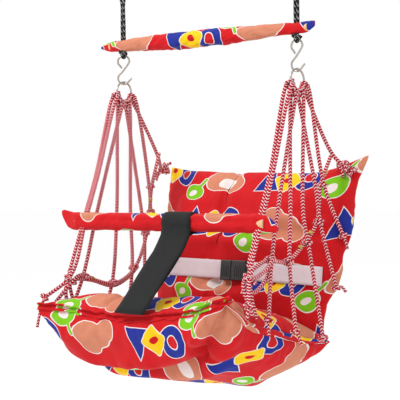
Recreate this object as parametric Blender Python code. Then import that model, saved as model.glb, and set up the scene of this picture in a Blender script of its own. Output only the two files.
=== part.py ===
"""Toddler belt swing seat: a padded seat and back hung on two rope nets from a spreader bar.

Metres, +Z up. The front of the seat faces -Y, and -X is the left of a person looking at its front.
The origin is midway between the two hanging loops, on the line where a hook would carry them.
Heights are given as drops below the spreader bar's axis, because everything hangs from that bar.
"""

import math

import bmesh
import bpy
from mathutils import Vector

# Driving dimensions
BAR_DROP = 0.135          # spreader bar's axis below the hanging line
RING_SPAN = 0.440         # between the two rings, and between the two hanging ropes
SEAT_WIDTH = 0.470        # cushions, seam to seam
ROPE_R = 0.003
GAP = 0.0004              # between touching pieces
HALF_SPAN = RING_SPAN / 2

# Spreader bar
SPREADER_LEFT, SPREADER_RIGHT = -0.256, 0.246
SPREADER_DOWEL_R = 0.0078
SPREADER_SLEEVE_R = 0.0100       # where the ropes pass through
SPREADER_BELLY_R = 0.0160       # between them, where the cloth is loose
SPREADER_BELLY_HALF = 0.105
SPREADER_LEFT_END = ((-0.022, 0.0012), (-0.012, 0.0030), (-0.003, 0.0092), (0.012, SPREADER_SLEEVE_R),
                     (0.048, SPREADER_SLEEVE_R))
SPREADER_RIGHT_END = ((-0.038, SPREADER_SLEEVE_R), (-0.012, SPREADER_SLEEVE_R), (0.003, 0.0092),
                      (0.012, 0.0046), (0.020, 0.0060))
SLEEVE_WALL = 0.0012
CUTTER_LENGTH = 0.08

# Hanging ropes, each a sling of two strands
STRAND_OFFSET = 0.0033    # of each strand from the middle of its pair
LOOP_R = 0.012            # of the bight at the top
LOOP_LENGTH = 0.045       # over which the strands come together
KNOT_EYE_R = 0.0062       # of the loop under the knot, to the middle of its cord
KNOT_COLLAR_R = 0.0066
KNOT_CORD_R = 0.0026

# S-hooks and rings
HOOK_WIRE_R = 0.0020
RING_WIRE_R = 0.0020
RING_R = 0.0220           # to the middle of the wire
HOOK_TOP_DROP = 0.0210    # middle of the wire where the rope holds it
HOOK_HEIGHT = 0.0595      # between the middles of the wire at top and bottom
HOOK_BOW_R = 0.0125        # to the middle of the wire
HOOK_CLOSED_END = ((-0.0040, -0.0265), (-0.0085, -0.0205))   # (across, up) from the hook's top
HOOK_WAIST = (0.0010, -0.0290)
HOOK_OPEN_TIP = (0.0175, -0.0465)
HOOK_TURN = {"left": math.radians(25), "right": 0.0}
HOOK_BOTTOM_DROP = HOOK_TOP_DROP + HOOK_HEIGHT
RING_DROP = HOOK_BOTTOM_DROP - HOOK_WIRE_R - RING_WIRE_R - GAP + RING_R

# Front bar, which slides up the front ropes
FRONT_BAR_Y, FRONT_BAR_DROP = -0.125, 0.363
FRONT_BAR_LEFT, FRONT_BAR_RIGHT = -0.254, 0.246
FRONT_BAR_HALF_DEPTH, FRONT_BAR_HALF_HEIGHT = 0.0140, 0.0170
FRONT_DOWEL_R = 0.0100
FRONT_LEFT_END = ((-0.018, 0.0016), (-0.008, 0.0050), (0.0, 0.0140), (0.012, FRONT_BAR_HALF_HEIGHT))
FRONT_RIGHT_END = ((-0.012, FRONT_BAR_HALF_HEIGHT), (0.0, 0.0140), (0.006, 0.0055), (0.012, 0.0030))
FRONT_CORE_IN = 0.013     # of the sleeve's full hollow, from each end of the bar
FRONT_CORE_TIP = 0.004
SLEEVE_TAPER = 0.0040     # that the hollow narrows towards its ends
FRONT_ROPE_GAP = 0.0006
FRONT_ROPE_LEAN = 0.415   # of the front ropes, forward travel per unit of drop
STRAP_WIDTH = 0.070
STRAP_THICK = 0.0024
STRAP_X = 0.034           # of its middle where it goes over the front bar
STRAP_FOOT_X = 0.004      # of its middle at the seat's seam

# Cushions
COVER_WALL = 0.0020
FILLING_GAP = 0.0010      # inside the cover
SEAT_HALF_THICK = 0.062
BACK_HALF_THICK = 0.043
SEAT_TILT = 0.035         # rise of the seat per metre towards the right
BACK_TILT = -0.020
SEAT_SAG = 0.028          # of the seat's middle below its side seams
SEAM_SAG = 0.014          # further, of the front seam's middle
SEAM_REACH = 0.08         # share of the seat over which that fades out

# Waist belt and buckle
WEBBING_WIDTH = 0.038
WEBBING_THICK = 0.0016
BUCKLE_X = 0.0155         # of the buckle's origin, which the next numbers and the prongs are from
BUCKLE_LEFT, BUCKLE_RIGHT = -0.031, 0.031
BELT_LEFT, BELT_RIGHT = -0.222, 0.212
BELT_OFF = 0.0014         # of the straps from the cushion's skin
STRAP_UNDER = 0.006       # of each strap's end under the buckle
BUCKLE_HALF_HEIGHT = 0.0205
BUCKLE_HALF_THICK = 0.0055
BELT_ALONG_BACK = 0.33    # share of the way up the back cushion

# Rope nets: each strand's (y, drop) points, from the ring down to its knot at a cushion's edge
RING_PLACES = (-70, -25, 20, 65)   # degrees from the ring's lowest point, positive to the rear
EDGE_OUT = SEAT_WIDTH / 2 + 0.0105   # where the strands end, just outside the cushions' side seams
NET = {
    "left": (
        ([(-0.0855, 0.268), (-0.125, 0.363), (-0.1695, 0.470), (-0.215, 0.512)],
         [(-0.0855, 0.268), (-0.125, 0.363), (-0.1655, 0.4604)]),
        ([(-0.084, 0.335), (-0.131, 0.473), (-0.142, 0.545)],
         [(-0.028, 0.343), (-0.046, 0.494), (-0.055, 0.572)]),
        ([(0.014, 0.349), (0.017, 0.466), (0.022, 0.590)],
         [(0.050, 0.352), (0.057, 0.394), (0.085, 0.490)]),
        ([(0.075, 0.297), (0.108, 0.352)],
         [(0.101, 0.224), (0.146, 0.262)]),
    ),
    "right": (
        ([(-0.0855, 0.268), (-0.125, 0.363), (-0.161, 0.450), (-0.196, 0.506)],
         [(-0.0855, 0.268), (-0.125, 0.363), (-0.157, 0.4404)]),
        ([(-0.071, 0.349), (-0.089, 0.431), (-0.137, 0.535)],
         [(-0.029, 0.360), (-0.033, 0.438), (-0.052, 0.565)]),
        ([(0.014, 0.352), (0.029, 0.405), (0.038, 0.585)],
         [(0.058, 0.305), (0.071, 0.367), (0.086, 0.495)]),
        ([(0.086, 0.296), (0.112, 0.395)],
         [(0.122, 0.240), (0.146, 0.270)]),
    ),
}
KNOT_SWELL = (1.0, 1.9, 2.2, 1.8, 1.0)
KNOT_STEP = 0.0042

# The cross cord starts at the seat's edge, climbs past the front knot and ties the strands together.
CROSS_CORD = {
    "left": [(-0.196, 0.530), (-0.1755, 0.486), (-0.150, 0.471), (-0.131, 0.475), (-0.046, 0.494),
             (0.017, 0.466), (0.057, 0.394), (0.075, 0.297), (0.101, 0.224)],
    "right": [(-0.180, 0.525), (-0.166, 0.468), (-0.140, 0.447), (-0.089, 0.431), (-0.033, 0.438),
              (0.029, 0.405), (0.071, 0.367), (0.086, 0.296), (0.122, 0.240)],
}
CORD_BESIDE = 0.0075      # of the cross cord from the strands, inwards
CORD_START_OUT = 0.030    # of its end at the seat, outwards

# Brass crimps on the cross cord: which stretch of it, and how far along
CRIMPS = {"left": ((3, 0.2), (6, 0.72)), "right": ((3, 0.30), (4, 0.72), (5, 0.45), (7, 0.45))}
CRIMP_LENGTH = 0.0075
CRIMP_WALL = 0.0014

# Cushions: the (y, drop) line from the front seam back, and from the bottom seam up
CUSHIONS = {
    "seat": {
        "line": [(-0.235, 0.508), (-0.188, 0.541), (-0.117, 0.566), (-0.063, 0.579), (0.030, 0.600),
                 (0.078, 0.606)],
        "length": 0.335, "half_thick": SEAT_HALF_THICK, "power": 4.0, "side_power": 6.5,
        "sag": SEAT_SAG, "seam_sag": SEAM_SAG, "tilt": SEAT_TILT,
    },
    "back": {
        "line": [(0.103, 0.582), (0.108, 0.510), (0.120, 0.435), (0.138, 0.350), (0.154, 0.256)],
        "length": 0.332, "half_thick": BACK_HALF_THICK, "power": 4.0, "side_power": 5.0,
        "sag": 0.0, "seam_sag": 0.0, "tilt": BACK_TILT,
    },
}
BACK_FRONT_FACE = 1       # the side of the back cushion's line that its front skin is on
CUSHION_STEPS_ACROSS = 18
CUSHION_STEPS_ALONG = 12
STRAP_STEPS = 16
STRAP_ROUND = 14
PLUG_SHOULDER = -0.0040
SOCKET_DEPTH = 0.0250
SOCKET_HALF_HEIGHT = 0.0165
PRONG_TIP = 0.0225
PRONG_OUT = 0.0125        # of each prong's middle from the buckle's middle


def below(x, y, drop):
    """A point given by its drop below the spreader bar's axis."""
    return Vector((x, y, -BAR_DROP - drop))


def clear_scene():
    for obj in list(bpy.data.objects):
        bpy.data.objects.remove(obj)


def material(name, colour, roughness, metallic=0.0):
    made = bpy.data.materials.new(name)
    made.use_nodes = True
    shader = made.node_tree.nodes["Principled BSDF"]
    shader.inputs["Base Color"].default_value = (*colour, 1)
    shader.inputs["Roughness"].default_value = roughness
    shader.inputs["Metallic"].default_value = metallic
    return made


def add_object(name, data, finish):
    obj = bpy.data.objects.new(name, data)
    bpy.context.scene.collection.objects.link(obj)
    if finish:
        data.materials.append(finish)
    return obj


def mesh_object(name, bm, finish, smooth_angle=40):
    bm.normal_update()
    bmesh.ops.recalc_face_normals(bm, faces=bm.faces)
    mesh = bpy.data.meshes.new(name)
    bm.to_mesh(mesh)
    bm.free()
    mesh.shade_smooth()
    mesh.set_sharp_from_angle(angle=math.radians(smooth_angle))
    return add_object(name, mesh, finish)


def cut(obj, *cutters):
    for cutter in cutters:
        cutter.hide_render = True
        cutter.display_type = "WIRE"
        modifier = obj.modifiers.new("cut", "BOOLEAN")
        modifier.operation = "DIFFERENCE"
        modifier.object = cutter


def join(obj, *others):
    for other in others:
        other.hide_render = True
        other.display_type = "WIRE"
        modifier = obj.modifiers.new("join", "BOOLEAN")
        modifier.operation = "UNION"
        modifier.object = other


def smooth_line(points, step):
    """Points about step apart on a smooth curve through the given ones (centripetal Catmull-Rom)."""
    ends = [2 * points[0] - points[1], *points, 2 * points[-1] - points[-2]]
    line = [points[0]]
    for before, start, end, after in zip(ends, ends[1:], ends[2:], ends[3:]):
        knots = [0.0]
        for a, b in ((before, start), (start, end), (end, after)):
            knots.append(knots[-1] + max((b - a).length, 1e-6) ** 0.5)
        pieces = max(1, round((end - start).length / step))
        for k in range(1, pieces + 1):
            t = knots[1] + (knots[2] - knots[1]) * k / pieces
            level = [before, start, end, after]
            for width in (1, 2, 3):
                level = [
                    level[i].lerp(level[i + 1], (t - knots[lo]) / (knots[hi] - knots[lo]))
                    for i, (lo, hi) in enumerate(blend_spans(width))
                ]
            line.append(level[0])
    return line


def blend_spans(width):
    """Knot intervals that each level of the Catmull-Rom pyramid blends over."""
    return {1: [(0, 1), (1, 2), (2, 3)], 2: [(0, 2), (1, 3)], 3: [(1, 2)]}[width]


def tube(name, points, radius, finish, swell=None, resolution=2):
    """A round cord or wire through the points, where swell gives each point's share of the radius."""
    curve = bpy.data.curves.new(name, "CURVE")
    curve.dimensions = "3D"
    curve.bevel_depth = radius
    curve.bevel_resolution = resolution
    curve.use_fill_caps = True
    spline = curve.splines.new("POLY")
    spline.points.add(len(points) - 1)
    for i, point in enumerate(points):
        spline.points[i].co = (*point, 1)
        spline.points[i].radius = swell[i] if swell else 1
    return add_object(name, curve, finish)


def torus(name, centre, axis, major, minor, finish, around=32, across=8):
    bm = bmesh.new()
    axis = Vector(axis).normalized()
    side = axis.orthogonal().normalized()
    other = axis.cross(side)
    rings = []
    for i in range(around):
        a = 2 * math.pi * i / around
        out = side * math.cos(a) + other * math.sin(a)
        ring = []
        for j in range(across):
            b = 2 * math.pi * j / across
            spot = centre + out * (major + minor * math.cos(b)) + axis * minor * math.sin(b)
            ring.append(bm.verts.new(spot))
        rings.append(ring)
    for i in range(around):
        for j in range(across):
            k, m = (i + 1) % around, (j + 1) % across
            bm.faces.new((rings[i][j], rings[k][j], rings[k][m], rings[i][m]))
    return mesh_object(name, bm, finish)


def sweep(name, sections, finish, smooth_angle=40):
    """A closed solid through cross-sections that have the same number of points."""
    bm = bmesh.new()
    rings = [[bm.verts.new(p) for p in section] for section in sections]
    for ring, after in zip(rings, rings[1:]):
        for j in range(len(ring)):
            k = (j + 1) % len(ring)
            bm.faces.new((ring[j], ring[k], after[k], after[j]))
    bm.faces.new(rings[0])
    bm.faces.new(rings[-1])
    return mesh_object(name, bm, finish, smooth_angle)


def along_x(name, profile, y, drop, finish, squash=1.0, sides=16):
    """A turned shape along X, from (x, radius) pairs. squash is its depth as a share of its height."""
    sections = []
    for x, r in profile:
        ring = [2 * math.pi * j / sides for j in range(sides)]
        sections.append([below(x, y + squash * r * math.cos(a), drop - r * math.sin(a)) for a in ring])
    return sweep(name, sections, finish)


def slot_cutter(name, centre, axis, half_spacing, radius, length):
    """A slot with round ends that lets two strands, side by side along X, through a bar."""
    axis = Vector(axis).normalized()
    across = Vector((1, 0, 0))
    normal = axis.cross(across)
    outline = []
    for side, start in ((1, -90), (-1, 90)):
        for step in range(7):
            a = math.radians(start + 30 * step)
            reach = side * half_spacing + radius * math.cos(a)
            outline.append(across * reach + normal * radius * math.sin(a))
    ends = [[centre + p + axis * t for p in outline] for t in (-length / 2, length / 2)]
    return sweep(name, ends, None)


# Hanging ropes and their knots


def hanging_rope(side, x, finish):
    """A sling: up through the bar, round the bight at the top and down through the bar again."""
    neck = Vector((0, 0, -LOOP_LENGTH))
    crown = Vector((0, 0, ROPE_R - LOOP_R))
    start = below(0, 0, SPREADER_SLEEVE_R - GAP)
    rising = [start, start.lerp(neck, 0.5), neck]
    rising = [p - Vector((STRAND_OFFSET, 0, 0)) for p in rising]
    rising.append(Vector((-0.75 * LOOP_R, 0, (neck.z + crown.z) / 2 - 0.001)))
    bight = []
    for step in range(1, 8):
        a = math.radians(180 - 22.5 * step)
        bight.append(crown + Vector((LOOP_R * math.cos(a), 0, LOOP_R * math.sin(a))))
    falling = [Vector((-p.x, p.y, p.z)) for p in reversed(rising)]
    route = smooth_line(rising + bight + falling, 0.012)
    return tube(f"hang_rope_{side}", [p + Vector((x, 0, 0)) for p in route], ROPE_R, finish)


def hanging_knot(side, x, finish):
    """The knot that stops the bar, with the small loop that carries the S-hook."""
    eye_drop = HOOK_TOP_DROP + HOOK_WIRE_R + GAP - (KNOT_EYE_R - KNOT_CORD_R)
    at = below(x, 0, eye_drop)
    eye = torus(f"hang_knot_{side}", at, (1, 0, 0), KNOT_EYE_R, KNOT_CORD_R, finish, 20, 8)
    at = below(x, 0, SPREADER_SLEEVE_R + GAP + KNOT_CORD_R)
    tilted = (0, 0.1, 1)
    collar = torus(f"knot_collar_{side}", at, tilted, KNOT_COLLAR_R, KNOT_CORD_R, finish, 20, 8)
    join(eye, collar)
    return eye


# Bars


def rod(left, right, radius):
    """The profile of a plain round bar, with sections on both sides of each rope hole."""
    holes = (-HALF_SPAN - 0.009, -HALF_SPAN + 0.009, HALF_SPAN - 0.009, HALF_SPAN + 0.009)
    return [(x, radius) for x in (left, *holes, right)]


def bar_sleeve(name, profile, y, drop, finish, core, squash=1.0):
    """A cloth sleeve, closed at both ends. core is the (x, radius) profile of its hollow."""
    sleeve = along_x(name, profile, y, drop, finish, squash)
    hollow = along_x(f"{name}_hollow", core, y, drop, None, squash)
    cut(sleeve, hollow)
    return sleeve


def spreader_bar(finishes):
    left, right = SPREADER_LEFT, SPREADER_RIGHT
    dowel = along_x("spreader_dowel", rod(left, right, SPREADER_DOWEL_R), 0, 0, finishes["wood"])
    profile = [(left + x, r) for x, r in SPREADER_LEFT_END]
    profile += [(-SPREADER_BELLY_HALF, SPREADER_BELLY_R), (SPREADER_BELLY_HALF, SPREADER_BELLY_R)]
    profile += [(right + x, r) for x, r in SPREADER_RIGHT_END]
    core = rod(left - GAP, right + GAP, SPREADER_DOWEL_R + GAP)
    sleeve = bar_sleeve("spreader_sleeve", profile, 0, 0, finishes["fabric"], core)
    for side, x in (("left", -HALF_SPAN), ("right", HALF_SPAN)):
        name, centre = f"rope_slot_{side}", below(x, 0, 0)
        cutter = slot_cutter(name, centre, (0, 0, 1), STRAND_OFFSET, ROPE_R + GAP, CUTTER_LENGTH)
        cut(dowel, cutter)
        cut(sleeve, cutter)


def front_bar(finishes):
    y, drop = FRONT_BAR_Y, FRONT_BAR_DROP
    left, right = FRONT_BAR_LEFT, FRONT_BAR_RIGHT
    squash = FRONT_BAR_HALF_DEPTH / FRONT_BAR_HALF_HEIGHT
    h = FRONT_BAR_HALF_HEIGHT
    profile = [(left + x, r) for x, r in FRONT_LEFT_END] + [(0, h)]
    profile += [(right + x, r) for x, r in FRONT_RIGHT_END]
    core_h = h - SLEEVE_WALL
    core = rod(left + FRONT_CORE_IN, right - FRONT_CORE_IN, core_h)
    core.insert(0, (left + FRONT_CORE_TIP, core_h - SLEEVE_TAPER))
    core.append((right - FRONT_CORE_TIP, core_h - SLEEVE_TAPER))
    sleeve = bar_sleeve("front_bar_sleeve", profile, y, drop, finishes["fabric"], core, squash)
    inner = (left + FRONT_CORE_IN + 0.001, right - FRONT_CORE_IN - 0.001)
    padding = along_x("front_bar_padding", rod(*inner, core_h - GAP), y, drop, finishes["wadding"], squash)
    cut(padding, along_x("padding_bore", rod(left, right, FRONT_DOWEL_R + GAP), y, drop, None))
    dowel = along_x("front_bar_dowel", rod(*inner, FRONT_DOWEL_R), y, drop, finishes["wood"])
    lean = (0, FRONT_ROPE_LEAN, 1)
    for side, x in (("left", -HALF_SPAN), ("right", HALF_SPAN)):
        name, centre = f"bar_slot_{side}", below(x, y, drop)
        cutter = slot_cutter(name, centre, lean, STRAND_OFFSET, ROPE_R + FRONT_ROPE_GAP, CUTTER_LENGTH)
        for piece in (sleeve, padding, dowel):
            cut(piece, cutter)


# Steel


def bow(degrees, centre):
    """(across, up) points on the wire's bow round a centre on the hook's middle line."""
    angles = [math.radians(a) for a in degrees]
    return [(HOOK_BOW_R * math.cos(a), HOOK_BOW_R * math.sin(a) + centre) for a in angles]


def s_hook(side, x, finish):
    """Bent from one wire: a closed upper bow and an open lower bow with a flared end."""
    upper = bow(range(200, -20, -20), -HOOK_BOW_R)
    lower = bow(range(160, 321, 20), HOOK_BOW_R - HOOK_HEIGHT)
    outline = [*HOOK_CLOSED_END, *upper, HOOK_WAIST, *lower, HOOK_OPEN_TIP]
    turn = HOOK_TURN[side]
    points = [below(x + u * math.cos(turn), u * math.sin(turn), HOOK_TOP_DROP - v) for u, v in outline]
    return tube(f"s_hook_{side}", smooth_line(points, 0.005), HOOK_WIRE_R, finish, resolution=2)


# Rope nets
# Each side has four ropes, hung over the ring at their middle, so that each gives two strands.
# A strand is its (y, drop) points from the ring down to its knot at the edge of a cushion.


def strand_x(places, i):
    """How far out a strand is at its point i: straight below the ring, then out past the cushion's seam."""
    share = i / (len(places) - 1)
    return HALF_SPAN + (EDGE_OUT - HALF_SPAN) * max(0.0, 2 * share - 1)


def strand(sign, places, shift=0.0):
    return [below(sign * strand_x(places, i) + shift, y, drop) for i, (y, drop) in enumerate(places)]


def end_knot(points):
    """The strand with its last stretch tied into a knot, as points and each one's share of the radius."""
    way = (points[-1] - points[-2]).normalized()
    knot = [points[-1] + way * KNOT_STEP * (k - 4) for k in range(5)]
    return points[:-1] + knot, [1.0] * (len(points) - 1) + list(KNOT_SWELL)


def middle_knot(points, i):
    """The strand with a knot tied round its point i."""
    before = (points[i] - points[i - 1]).normalized()
    after = (points[i + 1] - points[i]).normalized()
    knot = [points[i] + before * KNOT_STEP * (k - 2) for k in range(2)] + [points[i]]
    knot += [points[i] + after * KNOT_STEP * k for k in (1, 2)]
    swell = [1.0] * i + list(KNOT_SWELL) + [1.0] * (len(points) - i - 1)
    return points[:i] + knot + points[i + 1:], swell


def over_the_ring(sign, number):
    """The bight of a rope over the inside of the ring's wire."""
    angle = math.radians(RING_PLACES[number])
    outward = Vector((0, math.sin(angle), -math.cos(angle)))
    wire = below(sign * HALF_SPAN, 0, RING_DROP) + outward * RING_R
    reach = RING_WIRE_R + ROPE_R + GAP
    bight = []
    for step in range(5):
        a = math.radians(45 * step)
        bight.append(wire + Vector((reach * math.cos(a), 0, 0)) - outward * reach * math.sin(a))
    return bight


def net_rope(side, number, finish):
    sign = -1 if side == "left" else 1
    first, second = NET[side][number]
    bight = over_the_ring(sign, number)
    if number == 0:
        one = strand(sign, first)
        two = strand(sign, second)
        for points, shift in ((one, STRAND_OFFSET), (two, -STRAND_OFFSET)):
            for point in points[:2]:
                point.x = sign * HALF_SPAN + shift
        one[2].x = sign * HALF_SPAN + STRAND_OFFSET
        two[2].x = sign * HALF_SPAN - STRAND_OFFSET
        one, swell_one = middle_knot(one, 2)
        swell_two = [1.0] * len(two)
    else:
        one, swell_one = end_knot(strand(sign, first))
        two, swell_two = end_knot(strand(sign, second))
    route = [*reversed(one), *bight, *two]
    swell = [*reversed(swell_one), *[1.0] * len(bight), *swell_two]
    return tube(f"net_rope_{side}_{number + 1}", route, ROPE_R, finish, swell)


def cross_cord(side, rope, brass):
    """The cord that ties the strands together, beside them on the inner side, with its brass crimps."""
    sign = -1 if side == "left" else 1
    inside = HALF_SPAN - CORD_BESIDE
    points = [below(sign * inside, y, drop) for y, drop in CROSS_CORD[side]]
    points[0].x = sign * (inside + CORD_START_OUT)
    tube(f"cross_cord_{side}", points, ROPE_R, rope)
    for number, (stretch, share) in enumerate(CRIMPS[side], 1):
        start, end = points[stretch], points[stretch + 1]
        crimp(f"crimp_{side}_{number}", start.lerp(end, share), end - start, brass)


def crimp(name, centre, way, finish):
    """A short brass sleeve pressed round the cord."""
    way = way.normalized()
    side = way.orthogonal().normalized()
    other = way.cross(side)
    inner, outer, half = ROPE_R + GAP, ROPE_R + CRIMP_WALL, CRIMP_LENGTH / 2
    loops = [(outer, -half), (outer, half), (inner, half), (inner, -half)]
    bm = bmesh.new()
    rings = []
    for radius, along in loops:
        angles = [2 * math.pi * k / 16 for k in range(16)]
        rings.append([bm.verts.new(centre + way * along + (side * math.cos(a) + other * math.sin(a)) * radius)
                      for a in angles])
    for ring, after in zip(rings, rings[1:] + rings[:1]):
        for j in range(16):
            k = (j + 1) % 16
            bm.faces.new((ring[j], ring[k], after[k], after[j]))
    return mesh_object(name, bm, finish)


# Cushions


def fullness(share, power):
    """How thick a pillow is at a share of the way across it, from 0 at its seams to 1 in the middle."""
    return (1 - abs(2 * share - 1) ** power) ** 0.5


def on_line(places, share):
    """The (y, drop) point at a share of the way along a smooth line, and the line's direction there."""
    line = smooth_line([Vector((y, 0, -drop)) for y, drop in places], 0.006)
    at = share * (len(line) - 1)
    i = min(int(at), len(line) - 2)
    return line[i].lerp(line[i + 1], at - i), (line[i + 1] - line[i]).normalized()


def cushion_point(kind, x, along, face, inset=0.0):
    """A point of a cushion's skin. along runs from its first seam to its second, and face is 1 or -1."""
    shape = CUSHIONS[kind]
    half_width = SEAT_WIDTH / 2 - inset * 3
    reach = min(1.0, abs(x) / half_width)
    margin = inset * 3 / shape["length"]
    spread = margin + along * (1 - 2 * margin)
    place, way = on_line(shape["line"], spread)
    normal = Vector((way.z, 0, -way.x)) * -1
    across = fullness((1 + reach) / 2, shape["side_power"])
    thick = (shape["half_thick"] - inset) * fullness(along, shape["power"]) * across
    seam = 0.0006 * fullness(along, 2)
    bow = 1 - (2 * x / SEAT_WIDTH) ** 2
    sag = shape["sag"] * bow * (0.3 + 0.7 * math.sin(math.pi * spread))
    sag += shape["seam_sag"] * bow * math.exp(-(along / SEAM_REACH) ** 2)
    spot = place + normal * face * max(thick, seam) + Vector((0, 0, shape["tilt"] * x - sag))
    return Vector((x, spot.x, spot.z - BAR_DROP))


def cushion_body(name, kind, finish, inset=0.0):
    half_width = SEAT_WIDTH / 2 - inset * 3
    sections = []
    for step in range(CUSHION_STEPS_ACROSS + 1):
        x = -half_width * math.cos(math.pi * step / CUSHION_STEPS_ACROSS)
        turns = [math.pi * k / CUSHION_STEPS_ALONG for k in range(CUSHION_STEPS_ALONG + 1)]
        shares = [(1 - math.cos(turn)) / 2 for turn in turns]
        top = [cushion_point(kind, x, share, 1, inset) for share in shares]
        bottom = [cushion_point(kind, x, share, -1, inset) for share in shares[1:-1]]
        sections.append(top + bottom[::-1])
    return sweep(name, sections, finish, 60)


def cushion(kind, finishes, slit_place):
    """A cloth cover, its filling, and the slit in the cover that the filling went in through."""
    cover = cushion_body(f"{kind}_cover", kind, finishes["fabric"])
    cut(cover, cushion_body(f"{kind}_hollow", kind, None, COVER_WALL))
    along, face = slit_place
    outer = cushion_point(kind, 0, along, face)
    inner = cushion_point(kind, 0, along, face, COVER_WALL + 0.004)
    slit = box(f"{kind}_slit", outer.lerp(inner, 0.3), (0.20, 0.003, 0.012), outer - inner)
    cut(cover, slit)
    cushion_body(f"{kind}_filling", kind, finishes["filling"], COVER_WALL + FILLING_GAP)


def box(name, centre, size, up=Vector((0, 0, 1)), finish=None, bevel=0.0):
    """A box whose length is along X. Its third size is along up."""
    up = Vector(up).normalized()
    across = up.cross(Vector((1, 0, 0)))
    axes = (Vector((1, 0, 0)), across, up)
    bm = bmesh.new()
    bmesh.ops.create_cube(bm, size=1)
    for vert in bm.verts:
        vert.co = centre + sum((axis * c * s for axis, c, s in zip(axes, vert.co, size)), Vector())
    if bevel:
        bmesh.ops.bevel(bm, geom=bm.edges[:], offset=bevel, segments=2, affect="EDGES", profile=0.5)
    return mesh_object(name, bm, finish)


# Waist belt


def back_front(x, along, out):
    """A point in front of the back cushion's front skin."""
    skin = cushion_point("back", x, along, BACK_FRONT_FACE)
    return skin + back_normal() * out


def back_normal():
    """The way that the middle of the back cushion faces, forwards."""
    a = cushion_point("back", 0, BELT_ALONG_BACK - 0.06, BACK_FRONT_FACE)
    b = cushion_point("back", 0, BELT_ALONG_BACK + 0.06, BACK_FRONT_FACE)
    return Vector((1, 0, 0)).cross(b - a).normalized()


def waist_strap(name, start, end, finish):
    half = WEBBING_WIDTH / 2 / CUSHIONS["back"]["length"]
    shares = [BELT_ALONG_BACK + half * k / 2 for k in range(-2, 3)]
    sections = []
    for step in range(STRAP_STEPS + 1):
        x = start + (end - start) * step / STRAP_STEPS
        near = [back_front(x, share, BELT_OFF) for share in shares]
        far = [back_front(x, share, BELT_OFF + WEBBING_THICK) for share in shares]
        sections.append(near + far[::-1])
    return sweep(name, sections, finish)


def buckle(finish):
    """A side-release buckle. The socket is on the right strap and the plug on the left one."""
    out = back_normal()
    rise = BELT_OFF + GAP + WEBBING_THICK + BUCKLE_HALF_THICK
    base = cushion_point("back", 0, BELT_ALONG_BACK, BACK_FRONT_FACE) + out * rise
    base.x = BUCKLE_X
    up = out.cross(Vector((1, 0, 0)))

    def block(name, x_from, x_to, height, thick, shift=0.0, use=None, bevel=0.0):
        centre = base + Vector(((x_from + x_to) / 2, 0, 0)) + up * shift
        return box(name, centre, (x_to - x_from, height, thick), out, use, bevel)

    height, thick = 2 * BUCKLE_HALF_HEIGHT, 2 * BUCKLE_HALF_THICK
    mouth = PLUG_SHOULDER + GAP
    socket = block("buckle_socket", mouth, BUCKLE_RIGHT, height, thick, 0, finish, 0.002)
    cut(socket, block("socket_mouth", mouth - 0.01, SOCKET_DEPTH, 2 * SOCKET_HALF_HEIGHT, 0.0066))
    for name, way in (("upper", 1), ("lower", -1)):
        cut(socket, block(f"socket_window_{name}", mouth + 0.009, SOCKET_DEPTH - 0.002, 0.012, 0.0064,
                          way * (BUCKLE_HALF_HEIGHT - 0.001)))
    plug = block("buckle_plug", BUCKLE_LEFT, PLUG_SHOULDER, height, thick, 0, finish, 0.002)
    join(plug, block("plug_tongue", PLUG_SHOULDER - 0.004, PRONG_TIP, 0.0056, 0.0054))
    for name, way in (("upper", 1), ("lower", -1)):
        block(f"buckle_prong_{name}", mouth, PRONG_TIP, 0.0050, 0.0054, way * PRONG_OUT, finish, 0.0005)


# Crotch strap


def crotch_strap(finish):
    """One band: up from the seat's front seam, over the front bar and down again beside itself."""
    bar = Vector((0, FRONT_BAR_Y, -BAR_DROP - FRONT_BAR_DROP))
    seam = cushion_point("seat", STRAP_FOOT_X, 0, 1)
    foot = Vector((0, seam.y - 0.0080, seam.z + 0.0030))
    reach_y = FRONT_BAR_HALF_DEPTH + STRAP_THICK / 2 + GAP
    reach_z = FRONT_BAR_HALF_HEIGHT + STRAP_THICK / 2 + GAP
    down = (foot - bar).normalized()
    across = Vector((0, down.z, -down.y))
    spacing = STRAP_THICK / 2 + GAP
    throat = bar + down * (FRONT_BAR_HALF_HEIGHT + 0.008)
    line = [foot + across * spacing, throat + across * spacing]
    start = math.atan2(down.z, down.y)
    for step in range(STRAP_ROUND + 1):
        a = start - math.radians(30 + 300 * step / STRAP_ROUND)
        line.append(bar + Vector((0, reach_y * math.cos(a), reach_z * math.sin(a))))
    line += [throat - across * spacing, foot - across * spacing]
    inner, outer = [], []
    for i, point in enumerate(line):
        way = line[min(i + 1, len(line) - 1)] - line[max(i - 1, 0)]
        side = Vector((0, way.z, -way.y)).normalized() * STRAP_THICK / 2
        outer.append(point + side)
        inner.append(point - side)
    sections = []
    for half in (-STRAP_WIDTH / 2, STRAP_WIDTH / 2):
        section = []
        for p in outer + inner[::-1]:
            risen = min(1.0, (p.z - foot.z) / (throat.z - foot.z))
            section.append(Vector((STRAP_FOOT_X + (STRAP_X - STRAP_FOOT_X) * risen + half, p.y, p.z)))
        sections.append(section)
    return sweep("crotch_strap", sections, finish)


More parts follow.
